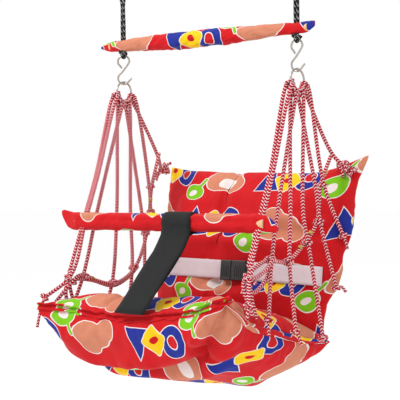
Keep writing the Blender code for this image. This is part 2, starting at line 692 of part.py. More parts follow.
def main():
    clear_scene()
    finishes = {
        "fabric": material("Printed cotton", (0.55, 0.03, 0.05), 0.9),
        "filling": material("Polyester filling", (0.85, 0.85, 0.83), 1.0),
        "wadding": material("Wadding", (0.80, 0.80, 0.78), 1.0),
        "wood": material("Beech dowel", (0.62, 0.42, 0.24), 0.6),
        "steel": material("Steel wire", (0.45, 0.42, 0.40), 0.35, 1.0),
        "brass": material("Brass", (0.70, 0.52, 0.25), 0.35, 1.0),
        "black_rope": material("Black rope", (0.02, 0.02, 0.02), 0.9),
        "red_rope": material("Red and white rope", (0.58, 0.08, 0.12), 0.9),
        "black_webbing": material("Black webbing", (0.02, 0.02, 0.02), 0.85),
        "white_webbing": material("Off-white webbing", (0.75, 0.70, 0.68), 0.85),
        "plastic": material("Black plastic", (0.02, 0.02, 0.02), 0.45),
    }
    spreader_bar(finishes)
    for side, x in (("left", -HALF_SPAN), ("right", HALF_SPAN)):
        hanging_rope(side, x, finishes["black_rope"])
        hanging_knot(side, x, finishes["black_rope"])
        s_hook(side, x, finishes["steel"])
        torus(f"ring_{side}", below(x, 0, RING_DROP), (1, 0, 0), RING_R, RING_WIRE_R, finishes["steel"])
        for number in range(4):
            net_rope(side, number, finishes["red_rope"])
        cross_cord(side, finishes["red_rope"], finishes["brass"])
    front_bar(finishes)
    crotch_strap(finishes["black_webbing"])
    cushion("seat", finishes, (0.80, -1))
    cushion("back", finishes, (0.15, -BACK_FRONT_FACE))
    left, right = BUCKLE_X + BUCKLE_LEFT + STRAP_UNDER, BUCKLE_X + BUCKLE_RIGHT - STRAP_UNDER
    waist_strap("waist_strap_left", BELT_LEFT, left, finishes["white_webbing"])
    waist_strap("waist_strap_right", right, BELT_RIGHT, finishes["white_webbing"])
    buckle(finishes["plastic"])


main()
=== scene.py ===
"""Looks of the toddler swing seat: printed cotton cushions, braided rope nets, steel, webbing."""

import math
import random

import bpy
import numpy as np
from mathutils import Matrix, Vector, noise


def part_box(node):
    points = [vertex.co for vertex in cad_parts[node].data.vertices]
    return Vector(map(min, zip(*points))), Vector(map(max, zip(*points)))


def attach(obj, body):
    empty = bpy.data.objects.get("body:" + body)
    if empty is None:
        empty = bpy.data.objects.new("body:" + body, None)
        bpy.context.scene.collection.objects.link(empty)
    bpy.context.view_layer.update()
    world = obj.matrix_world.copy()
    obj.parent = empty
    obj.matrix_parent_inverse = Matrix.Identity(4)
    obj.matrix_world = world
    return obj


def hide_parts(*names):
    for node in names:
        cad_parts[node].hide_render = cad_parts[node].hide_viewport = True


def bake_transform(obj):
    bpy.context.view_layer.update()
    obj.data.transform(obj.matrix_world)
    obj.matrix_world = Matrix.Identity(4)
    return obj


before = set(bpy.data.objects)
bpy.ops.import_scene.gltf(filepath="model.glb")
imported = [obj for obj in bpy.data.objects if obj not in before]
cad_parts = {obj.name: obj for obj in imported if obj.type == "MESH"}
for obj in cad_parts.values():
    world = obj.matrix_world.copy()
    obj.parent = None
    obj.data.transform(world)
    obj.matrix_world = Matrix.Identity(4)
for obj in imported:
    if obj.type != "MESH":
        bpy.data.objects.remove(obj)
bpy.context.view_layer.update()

# Places, in metres in the frame of the CAD
BAR_DROP = 0.135          # of the spreader bar's axis below the tops of the hanging loops
HALF_SPAN = 0.220         # from the middle to a hanging rope
SEAT_WIDTH = 0.470
WIRE_R = 0.0020           # of the rings and hooks
RING_LOW, RING_HIGH = (Vector(corner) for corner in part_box("ring_left"))
RING_Z = (RING_LOW.z + RING_HIGH.z) / 2
RING_R = (RING_HIGH.z - RING_LOW.z) / 2 - WIRE_R
FRONT_BAR_Y, FRONT_BAR_DROP = -0.125, 0.363

# Camera, as the photograph sees the swing
CAMERA_AZIMUTH, CAMERA_RISE, CAMERA_ROLL = math.radians(39), math.radians(1), math.radians(-0.8)
CAMERA_DISTANCE = 2.58
CAMERA_TARGET = Vector((-0.0195, 0, -0.323 - BAR_DROP))
CAMERA_LENS, CAMERA_SENSOR = 116.1, 36

# Stage: each light's name, place, size and power
LIGHTS = (
    ("key_light", (-1.2, -2.2, 1.9), 0.9, 62),
    ("fill_light", (2.6, -1.6, 0.6), 2.0, 8),
    ("top_light", (0.2, 0.6, 2.4), 1.6, 16),
)
FLOOR_SIZE, FLOOR_Z = 60, -1.45

X, Y, Z = Vector((1, 0, 0)), Vector((0, 1, 0)), Vector((0, 0, 1))


def below(x, y, drop):
    """A point given by its drop below the spreader bar's axis."""
    return Vector((x, y, -BAR_DROP - drop))


def round_circle(count):
    """The angles of count even steps round a circle."""
    return [2 * math.pi * k / count for k in range(count)]


def oval_loop(centre, across, up, count, wave=Vector(), rate=1, lag=0):
    """Points of an oval with those half axes, and a wave out of its plane."""
    return [centre + across * math.cos(a) + up * math.sin(a) + wave * math.sin(rate * a + lag)
            for a in round_circle(count)]


# Stage


def make_camera():
    data = bpy.data.cameras.new("camera")
    data.lens = CAMERA_LENS
    data.sensor_width = CAMERA_SENSOR
    cam = bpy.data.objects.new("camera", data)
    bpy.context.scene.collection.objects.link(cam)
    back = Vector((
        math.sin(CAMERA_AZIMUTH) * math.cos(CAMERA_RISE),
        -math.cos(CAMERA_AZIMUTH) * math.cos(CAMERA_RISE),
        math.sin(CAMERA_RISE),
    ))
    turn = back.to_track_quat("Z", "Y").to_matrix() @ Matrix.Rotation(CAMERA_ROLL, 3, "Z")
    cam.matrix_world = Matrix.Translation(CAMERA_TARGET + back * CAMERA_DISTANCE) @ turn.to_4x4()
    bpy.context.scene.camera = cam


def make_light(name, place, size, power):
    data = bpy.data.lights.new(name, "AREA")
    data.shape = "DISK"
    data.size = size
    data.energy = power
    light = bpy.data.objects.new(name, data)
    bpy.context.scene.collection.objects.link(light)
    away = Vector(place) - CAMERA_TARGET
    light.matrix_world = Matrix.Translation(place) @ away.to_track_quat("Z", "Y").to_matrix().to_4x4()


def make_stage():
    for light in LIGHTS:
        make_light(*light)
    world = bpy.data.worlds.new("studio")
    world.use_nodes = True
    background = world.node_tree.nodes["Background"]
    background.inputs["Color"].default_value = (1, 1, 1, 1)
    background.inputs["Strength"].default_value = 1.0
    bpy.context.scene.world = world
    bpy.ops.mesh.primitive_plane_add(size=FLOOR_SIZE, location=(0, 0, FLOOR_Z))
    floor = bpy.context.object
    floor.name = "floor"
    floor.data.materials.append(Graph("pale_floor").finish((0.99, 0.99, 0.99, 1), 0.9))
    bpy.context.scene.view_settings.view_transform = "Standard"


# Node helpers


class Graph:
    """Short ways to add shader nodes to one material."""

    def __init__(self, name):
        self.material = bpy.data.materials.new(name)
        self.material.use_nodes = True
        self.nodes = self.material.node_tree.nodes
        self.links = self.material.node_tree.links
        self.shader = self.nodes["Principled BSDF"]

    def plug(self, socket, value):
        if isinstance(value, bpy.types.NodeSocket):
            self.links.new(value, socket)
        elif value is not None:
            socket.default_value = value

    def plug_all(self, node, values):
        for socket, value in zip(node.inputs, values):
            self.plug(socket, value)

    def math(self, operation, a, b=None, c=None):
        node = self.nodes.new("ShaderNodeMath")
        node.operation = operation
        self.plug_all(node, (a, b, c))
        return node.outputs[0]

    def times(self, a, b):
        return self.math("MULTIPLY", a, b)

    def minus(self, a, b):
        return self.math("SUBTRACT", a, b)

    def vector(self, operation, a, b=None):
        node = self.nodes.new("ShaderNodeVectorMath")
        node.operation = operation
        self.plug_all(node, (a, b))
        return node.outputs["Value" if operation == "LENGTH" else "Vector"]

    def split(self, vector):
        node = self.nodes.new("ShaderNodeSeparateXYZ")
        self.plug(node.inputs[0], vector)
        return node.outputs

    def join(self, x, y):
        node = self.nodes.new("ShaderNodeCombineXYZ")
        self.plug_all(node, (x, y))
        return node.outputs[0]

    def mix(self, share, a, b):
        node = self.nodes.new("ShaderNodeMix")
        node.data_type = "RGBA"
        self.plug(node.inputs["Factor"], share)
        self.plug(node.inputs[6], a)
        self.plug(node.inputs[7], b)
        return node.outputs[2]

    def noise(self, vector, scale, detail=2.0, roughness=0.5):
        node = self.nodes.new("ShaderNodeTexNoise")
        self.plug(node.inputs["Vector"], vector)
        node.inputs["Scale"].default_value = scale
        node.inputs["Detail"].default_value = detail
        node.inputs["Roughness"].default_value = roughness
        return node.outputs["Fac"]

    def uv(self):
        return self.nodes.new("ShaderNodeUVMap").outputs[0]

    def place(self):
        return self.nodes.new("ShaderNodeTexCoord").outputs["Object"]

    def mapped(self, vector, location, turn=0.0, scale=(1, 1)):
        """The vector in the coordinates of a shape that lies there, is turned so, and has that half size."""
        node = self.nodes.new("ShaderNodeMapping")
        node.vector_type = "TEXTURE"
        self.plug(node.inputs["Vector"], vector)
        node.inputs["Location"].default_value = (*location, 0)
        node.inputs["Rotation"].default_value = (0, 0, turn)
        node.inputs["Scale"].default_value = (*scale, 1)
        return node.outputs[0]

    def bump(self, height, strength, distance, normal=None):
        node = self.nodes.new("ShaderNodeBump")
        self.plug(node.inputs["Height"], height)
        node.inputs["Strength"].default_value = strength
        node.inputs["Distance"].default_value = distance
        self.plug(node.inputs["Normal"], normal)
        return node.outputs[0]

    def finish(self, colour, roughness, normal=None, metallic=0.0, sheen=0.0, shine=0.5):
        self.plug(self.shader.inputs["Base Color"], colour)
        self.plug(self.shader.inputs["Roughness"], roughness)
        self.plug(self.shader.inputs["Normal"], normal)
        self.shader.inputs["Metallic"].default_value = metallic
        self.shader.inputs["Sheen Weight"].default_value = sheen
        self.shader.inputs["Specular IOR Level"].default_value = shine
        return self.material


def shade(red, green, blue):
    """A linear colour from its sRGB values out of 255."""
    return (*[((c / 255 + 0.055) / 1.055) ** 2.4 if c > 10 else c / 3295 for c in (red, green, blue)], 1)


# Printed cotton

TILE = (0.272, 0.094)     # the print's repeat, each row moved on by half of it
OUTLINE = 0.0015          # the white line round a shape
PRINT_SCALE = 0.84
WOBBLE = 0.006            # how far the shapes' outlines wander
SHAPE_BLEND = 0.004       # the radius of the inner corner where two joined shapes meet
THREADS = 2600            # the weave's threads, in radians a metre
BLUE, YELLOW, LIME = shade(26, 40, 132), shade(226, 184, 14), shade(112, 178, 18)
WHITE, RED = shade(218, 208, 204), shade(186, 12, 22)

# The print's shapes in a tile: place, half size, corner radius where it has one, and turn
CLOUD = (((0.066, 0.002), (0.038, 0.022), 0.15), ((0.098, -0.008), (0.018, 0.017), 0.0),
         ((0.060, 0.018), (0.020, 0.017), 0.4))
CLOUD_PATCH = ((0.080, -0.004), (0.018, 0.010), 0.2)
LEAF = ((0.008, -0.026), (0.021, 0.016), -0.3)
LEAF_STEM = ((0.020, -0.008), (0.0028, 0.013), 0.0026, -0.5)
LEAF_SPOT = ((0.006, -0.027), (0.009, 0.0065), 0.3)
WEDGE = ((-0.104, 0.008), (0.026, 0.025), 0.1)
HOOP = ((-0.030, 0.008), (0.024, 0.026))
HOOP_HOLE = ((-0.030, 0.008), (0.010, 0.012))
LOZENGE = ((-0.068, 0.004), (0.019, 0.019), 0.006, 0.62)
LOZENGE_DOT = ((-0.068, 0.004), (0.007, 0.006))


class Print(Graph):
    """The print's shapes, each a distance in metres that is negative inside it."""

    def oval(self, p, place, half, turn=0.0):
        q = self.mapped(p, place, turn, half)
        return self.times(self.minus(self.vector("LENGTH", q), 1.0), min(half))

    def bar(self, p, place, half, corner, turn=0.0):
        q = self.vector("ABSOLUTE", self.mapped(p, place, turn))
        q = self.vector("SUBTRACT", q, (half[0] - corner, half[1] - corner, 0))
        q = self.vector("MAXIMUM", q, (0, 0, 0))
        q = self.vector("MULTIPLY", q, (1, 1, 0))
        return self.minus(self.vector("LENGTH", q), corner)

    def wedge(self, p, place, half, turn=0.0):
        """A triangle with its foot on its lower side."""
        q = self.split(self.mapped(p, place, turn))
        lean = math.hypot(half[0], 2 * half[1])
        slope = self.times(self.math("ABSOLUTE", q[0]), 2 * half[1] / lean)
        slope = self.math("MULTIPLY_ADD", q[1], half[0] / lean, slope)
        slope = self.minus(slope, half[0] * half[1] / lean)
        return self.math("MAXIMUM", slope, self.minus(self.times(q[1], -1.0), half[1]))

    def less(self, a, b):
        return self.math("MAXIMUM", a, self.times(b, -1.0))

    def either(self, a, b):
        return self.math("SMOOTH_MIN", a, b, SHAPE_BLEND)

    def paint(self, under, distance, colour, outline=OUTLINE):
        if outline:
            under = self.mix(self.math("LESS_THAN", distance, outline), under, WHITE)
        return self.mix(self.math("LESS_THAN", distance, 0.0), under, colour)


def cell(g, uv, shift):
    """The point within its cell of the print, and whether its row is an odd one."""
    uv = g.vector("MULTIPLY", uv, (PRINT_SCALE, PRINT_SCALE, 1))
    u, v, _ = g.split(g.vector("ADD", uv, (*shift, 0)))
    u = g.math("MULTIPLY_ADD", g.noise(uv, 30, 1), WOBBLE, u)
    v = g.math("MULTIPLY_ADD", g.noise(g.vector("ADD", uv, (3, 3, 0)), 30, 1), WOBBLE, v)
    odd = g.math("FLOORED_MODULO", g.math("FLOOR", g.math("DIVIDE", v, TILE[1])), 2.0)
    u = g.math("MULTIPLY_ADD", odd, TILE[0] / 2, u)
    u, v = (g.minus(g.math("FLOORED_MODULO", c, size), size / 2) for c, size in zip((u, v), TILE))
    return g.join(u, v), odd


def printed_cotton(name, shift=(0.0, 0.0), wrinkle=0.35):
    """Red cotton printed with blue wedges and rings, yellow lozenges, green leaves and tan clouds."""
    g = Print(name)
    uv = g.uv()
    p, odd = cell(g, uv, shift)
    colour = g.mix(g.noise(uv, 25, 3), shade(178, 8, 16), shade(196, 14, 24))
    cloud = g.either(g.oval(p, *CLOUD[0]), g.oval(p, *CLOUD[1]))
    cloud = g.either(cloud, g.oval(p, *CLOUD[2]))
    colour = g.paint(colour, cloud, g.mix(g.noise(uv, 40, 2), shade(182, 108, 82), shade(200, 130, 102)))
    hidden_where_even = g.minus(0.03, g.times(odd, 0.03))
    patch = g.math("ADD", g.oval(p, *CLOUD_PATCH), hidden_where_even)
    colour = g.paint(colour, patch, WHITE, 0)
    colour = g.paint(colour, g.either(g.oval(p, *LEAF), g.bar(p, *LEAF_STEM)), LIME)
    colour = g.paint(colour, g.oval(p, *LEAF_SPOT), WHITE, 0)
    colour = g.paint(colour, g.wedge(p, *WEDGE), BLUE)
    colour = g.paint(colour, g.less(g.oval(p, *HOOP), g.oval(p, *HOOP_HOLE)), BLUE)
    colour = g.paint(colour, g.bar(p, *LOZENGE), YELLOW)
    colour = g.paint(colour, g.oval(p, *LOZENGE_DOT), RED, 0)
    warp, weft, _ = g.split(g.vector("MULTIPLY", uv, (THREADS, THREADS, 0)))
    weave = g.times(g.math("SINE", warp), g.math("SINE", weft))
    normal = g.bump(weave, 0.10, 0.0003)
    normal = g.bump(g.noise(g.place(), 38, 4, 0.55), wrinkle, 0.006, normal)
    return g.finish(colour, 0.78, normal, sheen=0.03, shine=0.18)


# Rope, webbing, metal, plastic and wood

CHEVRON_SLOPE = 1.3
STRAY_FIBRE = 0.35        # how far loose fibres blur a chevron's edge, as a share of its period
WEBBING_PICK = 0.0012     # between the weft threads of webbing


def braid(name, dark, light, share, period):
    """Braided cord: light chevrons on a dark ground. The mesh's UV is round it and along it, in metres."""
    g = Graph(name)
    u, v, _ = g.split(g.uv())
    side = g.math("ABSOLUTE", g.minus(g.math("FRACT", g.times(u, 2.0)), 0.5))
    step = g.minus(g.math("DIVIDE", v, period), g.times(side, CHEVRON_SLOPE))
    edge = g.math("MULTIPLY_ADD", g.noise(g.place(), 900, 1), STRAY_FIBRE, share - 0.17)
    colour = g.mix(g.math("LESS_THAN", g.math("FRACT", step), edge), dark, light)
    ridge = g.math("SINE", g.times(step, 4 * math.pi))
    furrow = g.times(g.math("COSINE", g.times(u, 8 * math.pi)), 0.4)
    normal = g.bump(g.math("ADD", ridge, furrow), 0.55, 0.0008)
    return g.finish(colour, 0.85, normal, sheen=0.05, shine=0.2)


def webbing(name, colour, darker, ribs):
    """Woven band. The mesh's UV is across it and along it, in metres."""
    g = Graph(name)
    u, v, _ = g.split(g.uv())
    across = g.math("SINE", g.times(u, 2 * math.pi / ribs))
    along = g.math("SINE", g.times(v, 2 * math.pi / WEBBING_PICK))
    tone = g.mix(g.noise(g.place(), 60, 3), colour, darker)
    normal = g.bump(g.times(across, along), 0.5, 0.0004)
    normal = g.bump(g.noise(g.place(), 30, 2), 0.25, 0.004, normal)
    return g.finish(tone, 0.8, normal, sheen=0.03, shine=0.2)


def steel_wire():
    g = Graph("bright_steel_wire")
    streak = g.noise(g.vector("MULTIPLY", g.place(), (1, 1, 0.25)), 420, 3)
    tone = g.mix(streak, shade(150, 142, 134), shade(192, 186, 180))
    roughness = g.math("MULTIPLY_ADD", streak, 0.2, 0.18)
    return g.finish(tone, roughness, g.bump(streak, 0.12, 0.0004), metallic=1.0)


def brass():
    g = Graph("worn_brass")
    wear = g.noise(g.place(), 500, 3)
    tone = g.mix(wear, shade(150, 118, 48), shade(222, 190, 96))
    return g.finish(tone, 0.35, g.bump(wear, 0.3, 0.0005), metallic=0.9)


def moulded_plastic():
    g = Graph("black_moulded_plastic")
    tone = g.mix(g.noise(g.place(), 90, 2), shade(28, 28, 29), shade(40, 40, 42))
    return g.finish(tone, 0.42, g.bump(g.noise(g.place(), 1400, 2), 0.2, 0.0003))


def wood():
    g = Graph("beech_wood")
    grain = g.noise(g.vector("MULTIPLY", g.place(), (4, 60, 60)), 4, 4)
    return g.finish(g.mix(grain, shade(190, 150, 105), shade(220, 184, 140)), 0.6, g.bump(grain, 0.2, 0.001))


# Mesh helpers


def smooth_line(points, step):
    """Points about step apart on a smooth curve through the given ones (centripetal Catmull-Rom)."""
    points = [Vector(p) for p in points]
    ends = [2 * points[0] - points[1], *points, 2 * points[-1] - points[-2]]
    spans = {1: ((0, 1), (1, 2), (2, 3)), 2: ((0, 2), (1, 3)), 3: ((1, 2),)}
    line = [points[0]]
    for quad in zip(ends, ends[1:], ends[2:], ends[3:]):
        knots = [0.0]
        for a, b in zip(quad, quad[1:]):
            knots.append(knots[-1] + max((b - a).length, 1e-6) ** 0.5)
        pieces = max(1, round((quad[2] - quad[1]).length / step))
        for k in range(1, pieces + 1):
            t = knots[1] + (knots[2] - knots[1]) * k / pieces
            level = list(quad)
            for width in (1, 2, 3):
                level = [level[i].lerp(level[i + 1], (t - knots[lo]) / (knots[hi] - knots[lo]))
                         for i, (lo, hi) in enumerate(spans[width])]
            line.append(level[0])
    return line


def distances(points):
    """How far each point is along the line through them."""
    along = [0.0]
    for a, b in zip(points, points[1:]):
        along.append(along[-1] + (b - a).length)
    return along


def curve_at(points, places):
    """Rows of points read off at fractional places in the list."""
    at = np.arange(len(points))
    return np.stack([np.interp(places, at, points[:, c]) for c in range(points.shape[1])], -1)


def new_piece(name, verts, faces, uvs, finish):
    """A mesh piece with a UV for each corner of each face."""
    mesh = bpy.data.meshes.new(name)
    mesh.from_pydata([tuple(v) for v in verts], [], faces)
    layer = mesh.uv_layers.new(name="UVMap")
    for face, corners in zip(mesh.polygons, uvs):
        for loop, corner in zip(face.loop_indices, corners):
            layer.data[loop].uv = corner
    mesh.shade_smooth()
    mesh.materials.append(finish)
    obj = bpy.data.objects.new(name, mesh)
    bpy.context.scene.collection.objects.link(obj)
    return obj


def settle(obj, body, nodes):
    """Say which body a piece rides on, which CAD nodes it stands for."""
    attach(obj, body)
    if nodes:
        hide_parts(*nodes)
    return obj


def apply_modifiers(obj):
    graph = bpy.context.evaluated_depsgraph_get()
    graph.update()
    mesh = bpy.data.meshes.new_from_object(obj.evaluated_get(graph))
    obj.modifiers.clear()
    obj.data = mesh


def subdivide(obj):
    sub = obj.modifiers.new("subdivision", "SUBSURF")
    sub.levels = sub.render_levels = 1
    apply_modifiers(obj)


class Skin:
    """Vertices, faces and UVs of closed skins, each round rows of the same number of vertices."""

    def __init__(self):
        self.verts, self.faces, self.uvs = [], [], []

    def close(self, first, rows, n, uv_at, cap_uvs=((0.0, 0.0), (0.0, 0.0)), closed=False, turned=False):
        """Faces round the rows from vertex first on. uv_at gives a UV from a row and a place in it."""
        for i in range(rows if closed else rows - 1):
            for k in range(n):
                ring = [(i, k), (i, k + 1), (i + 1, k + 1), (i + 1, k)]
                if turned:
                    ring = [ring[0], ring[3], ring[2], ring[1]]
                self.faces.append([first + row % rows * n + place % n for row, place in ring])
                self.uvs.append([uv_at(*corner) for corner in ring])
        if not closed:
            for row, uv, order in zip((0, rows - 1), cap_uvs, (1, -1) if turned else (-1, 1)):
                self.faces.append([first + row * n + k for k in range(n)][::order])
                self.uvs.append([uv] * n)

    def piece(self, name, finish):
        return new_piece(name, self.verts, self.faces, self.uvs, finish)


CORD_END_UV = (0.1, 0.0)


class Tubes(Skin):
    """Round cords gathered into one mesh, with UVs round and along each."""

    def __init__(self, sides=10):
        super().__init__()
        self.sides = sides

    def add(self, points, radius, closed=False):
        """A tube through the points. radius is one number, or one for each point."""
        radii = radius if isinstance(radius, list) else [radius] * len(points)
        first = len(self.verts)
        n = len(points)
        along = distances(points)
        along.append(along[-1] + (points[0] - points[-1]).length)
        way = (points[1] - points[0]).normalized()
        across = way.orthogonal().normalized()
        for i, point in enumerate(points):
            ahead = points[(i + 1) % n] if closed or i < n - 1 else points[i]
            behind = points[i - 1] if closed or i else points[i]
            new_way = (ahead - behind).normalized()
            across = (way.rotation_difference(new_way) @ across).normalized()
            way = new_way
            up = way.cross(across)
            for a in round_circle(self.sides):
                self.verts.append(point + (across * math.cos(a) + up * math.sin(a)) * radii[i])
        self.close(first, n, self.sides, lambda row, k: (k / self.sides, along[row]),
                   (CORD_END_UV, CORD_END_UV), closed)

    def build(self, name, finish, body, nodes, slot):
        return settle(self.piece(name, finish), body, nodes)


# Hanging ropes

STRAND_OFFSET = 0.0033    # of each half of a doubled rope from its middle
LOOP_R = 0.012
LOOP_LENGTH = 0.045
HANG_ROPE_R = 0.0030
HANG_ROPE_FOOT = 0.0096   # its drop, inside the spreader
KNOT_POINTS = 42
EYE_DROP, EYE_R, EYE_ROPE_R = 0.0198, 0.0060, 0.0026
HANG_KNOTS = (            # each turn's centre, axis, size, turn, flatness and rope radius
    ((0.0, 0.0, 0.0155), (0.2, 0.1, 1), 0.0078, 0.4, 0.5, 0.0028),
    ((0.001, 0.001, 0.0150), (0.9, 0.3, 0.5), 0.0068, 1.2, 0.6, 0.0027),
)
HANG_TAIL = ((0.004, -0.003, 0.0150), (0.010, -0.006, 0.0170), (0.0155, -0.007, 0.0185))
HANG_TAIL_R = 0.0024


def hanging_rope(side, x, finish):
    """A sling: up through the bar, round the bight at the top and down through the bar again."""
    neck = Vector((0, 0, -LOOP_LENGTH))
    crown = Vector((0, 0, HANG_ROPE_R - LOOP_R))
    start = below(0, 0, HANG_ROPE_FOOT)
    rising = [p - X * STRAND_OFFSET for p in (start, start.lerp(neck, 0.5), neck)]
    rising.append(Vector((-0.75 * LOOP_R, 0, (neck.z + crown.z) / 2 - 0.001)))
    bight = []
    for step in range(1, 8):
        a = math.radians(180 - 22.5 * step)
        bight.append(crown + Vector((LOOP_R * math.cos(a), 0, LOOP_R * math.sin(a))))
    falling = [Vector((-p.x, p.y, p.z)) for p in reversed(rising)]
    route = [p + X * x for p in smooth_line(rising + bight + falling, 0.004)]
    tubes = Tubes(12)
    tubes.add(route, HANG_ROPE_R)
    rope = tubes.build(f"hanging_rope_{side}", finish, "hanger", [f"hang_rope_{side}"], "black_rope")


def knot_loop(centre, axis, size, turn=0.0, squash=0.8):
    """Points of a tight knot round a centre, flattened along axis."""
    axis = Vector(axis).normalized()
    a = Matrix.Rotation(turn, 3, axis) @ axis.orthogonal().normalized()
    b = axis.cross(a)
    points = []
    for t in round_circle(KNOT_POINTS):
        x = (math.sin(t) + 2 * math.sin(2 * t)) / 3
        y = (math.cos(t) - 2 * math.cos(2 * t)) / 3
        z = -math.sin(3 * t) / 3 * squash
        points.append(centre + (a * x + b * y + axis * z) * size)
    return points


def hanging_knot(side, x, finish):
    """The knot under the bar, and the loop below it that carries the S-hook."""
    tubes = Tubes()
    for (dx, y, drop), axis, size, turn, squash, radius in HANG_KNOTS:
        tubes.add(knot_loop(below(x + dx, y, drop), axis, size, turn, squash), radius, closed=True)
    tubes.add(oval_loop(below(x, 0, EYE_DROP), Y * EYE_R, Z * EYE_R, 24), EYE_ROPE_R, closed=True)
    tail = [below(x + dx, y, drop) for dx, y, drop in HANG_TAIL]
    tubes.add(smooth_line(tail, 0.002), HANG_TAIL_R)
    tubes.build(f"hanging_knot_{side}", finish, "hanger", [f"hang_knot_{side}"], "black_rope")


# Steel

HOOK_BOW_R = 0.0125
HOOK_HEIGHT = 0.0595
HOOK_TOP_DROP = 0.0210
HOOK_START = ((-0.0040, -0.0265), (-0.0085, -0.0205))
HOOK_CROSSING = (0.0010, -0.0290)
HOOK_TIP, HOOK_TIP_R = (0.0175, -0.0465), 0.0013
HOOK_TURN = {"left": math.radians(25), "right": 0.0}


def hook_bow(degrees, drop):
    """Points of one bow of an S-hook."""
    return [(HOOK_BOW_R * math.cos(a), HOOK_BOW_R * (math.sin(a) + drop)) for a in map(math.radians, degrees)]


def s_hook(side, x, finish):
    """Bent from one wire: a closed upper bow and an open lower bow with a flared end."""
    upper = hook_bow(range(200, -20, -20), -1)
    lower = [(u, v - HOOK_HEIGHT) for u, v in hook_bow(range(160, 321, 20), 1)]
    outline = [*HOOK_START, *upper, HOOK_CROSSING, *lower, HOOK_TIP]
    turn = HOOK_TURN[side]
    points = [below(x + u * math.cos(turn), u * math.sin(turn), HOOK_TOP_DROP - v) for u, v in outline]
    tubes = Tubes(16)
    route = smooth_line(points, 0.0016)
    tubes.add(route, [HOOK_TIP_R] + [WIRE_R] * (len(route) - 2) + [HOOK_TIP_R])
    tubes.build(f"steel_hook_{side}", finish, f"hook_{side}", [f"s_hook_{side}"], "steel")


def steel_ring(side, x, finish):
    tubes = Tubes(16)
    tubes.add(oval_loop(Vector((x, 0, RING_Z)), Y * RING_R, Z * RING_R, 72), WIRE_R, closed=True)
    tubes.build(f"steel_ring_{side}", finish, "seat", [f"ring_{side}"], "steel")


# Rope nets

ROPE_R = 0.0038
TAIL_R, TAIL_END_R = 0.0029, 0.0034
CORNER_TAIL_R = 0.0030
GAP = 0.0004
RING_DROP = -RING_Z - BAR_DROP
EDGE_OUT = SEAT_WIDTH / 2 + 0.0105          # how far out a strand ends, beside the cushion
RING_PLACES = (-70, -25, 20, 65)            # of the four doubled ropes on the ring, in degrees
# Each doubled rope's two strands, as (y, drop) places from the ring down
NET = {
    "left": (
        ([(-0.0855, 0.268), (-0.125, 0.363), (-0.1695, 0.470), (-0.215, 0.512)],
         [(-0.0855, 0.268), (-0.125, 0.363), (-0.1655, 0.4604)]),
        ([(-0.084, 0.335), (-0.131, 0.473), (-0.142, 0.545)],
         [(-0.028, 0.343), (-0.046, 0.494), (-0.055, 0.572)]),
        ([(0.014, 0.349), (0.017, 0.466), (0.022, 0.590)],
         [(0.050, 0.352), (0.057, 0.394), (0.085, 0.490)]),
        ([(0.075, 0.297), (0.108, 0.352)],
         [(0.101, 0.224), (0.146, 0.262)]),
    ),
    "right": (
        ([(-0.0855, 0.268), (-0.125, 0.363), (-0.161, 0.450), (-0.196, 0.506)],
         [(-0.0855, 0.268), (-0.125, 0.363), (-0.157, 0.4404)]),
        ([(-0.071, 0.349), (-0.089, 0.431), (-0.137, 0.535)],
         [(-0.029, 0.360), (-0.033, 0.438), (-0.052, 0.565)]),
        ([(0.014, 0.352), (0.029, 0.405), (0.038, 0.585)],
         [(0.058, 0.305), (0.071, 0.367), (0.086, 0.495)]),
        ([(0.086, 0.296), (0.112, 0.395)],
         [(0.122, 0.240), (0.146, 0.270)]),
    ),
}
# The strands' tails, as steps from the knot
TAILS = {
    "left": (
        ([(0.002, -0.008, -0.010), (0.001, -0.010, -0.024), (0.000, -0.006, -0.022)], None),
        (None, [(-0.003, 0.004, -0.014), (-0.002, 0.003, -0.012)]),
        (None, [(-0.002, 0.012, 0.004), (0.0, 0.010, -0.012)]),
        ([(-0.004, -0.012, -0.004), (-0.002, -0.006, -0.014)],
         [(-0.003, -0.014, -0.006), (-0.001, -0.010, -0.012)]),
    ),
    "right": (
        ([(0.004, -0.008, -0.008), (0.002, -0.004, -0.014)], None),
        ([(0.004, -0.006, -0.012), (0.002, -0.002, -0.014)],
         [(0.004, 0.006, -0.012), (0.002, 0.004, -0.014)]),
        (None, [(0.004, 0.012, 0.002), (0.003, 0.010, -0.010)]),
        ([(0.004, 0.004, -0.014), (0.002, 0.002, -0.012)],
         [(0.003, 0.010, 0.004), (0.001, 0.010, -0.004)]),
    ),
}
CROSS_CORD = {
    "left": [(-0.196, 0.530), (-0.1755, 0.486), (-0.150, 0.471), (-0.131, 0.475), (-0.046, 0.494),
             (0.017, 0.466), (0.057, 0.394), (0.075, 0.297), (0.101, 0.224)],
    "right": [(-0.180, 0.525), (-0.166, 0.468), (-0.140, 0.447), (-0.089, 0.431), (-0.033, 0.438),
              (0.029, 0.405), (0.071, 0.367), (0.086, 0.296), (0.122, 0.240)],
}
# Further runs of the cross cord: (y, drop) places, and how far out they lie
SECOND_CORD = {
    "left": (([(-0.158, 0.478), (-0.140, 0.479), (-0.110, 0.484), (-0.050, 0.499), (-0.010, 0.488),
               (0.017, 0.472)], 0.001),
             ([(-0.1655, 0.4604), (-0.166, 0.485), (-0.160, 0.510), (-0.150, 0.532)], 0.012),
             ([(-0.1655, 0.4604), (-0.180, 0.486), (-0.182, 0.510), (-0.176, 0.526)], 0.006)),
    "right": (([(-0.166, 0.468), (-0.145, 0.487), (-0.118, 0.478), (-0.096, 0.458), (-0.089, 0.436)], 0.003),
              ([(-0.164, 0.462), (-0.140, 0.458), (-0.112, 0.446), (-0.089, 0.426)], 0.012),
              ([(-0.157, 0.4404), (-0.163, 0.470), (-0.158, 0.500), (-0.146, 0.532)], 0.012)),
}
CORD_BESIDE = 0.0075      # from the strands to the cross cord, inwards
CORD_START_OUT = 0.030
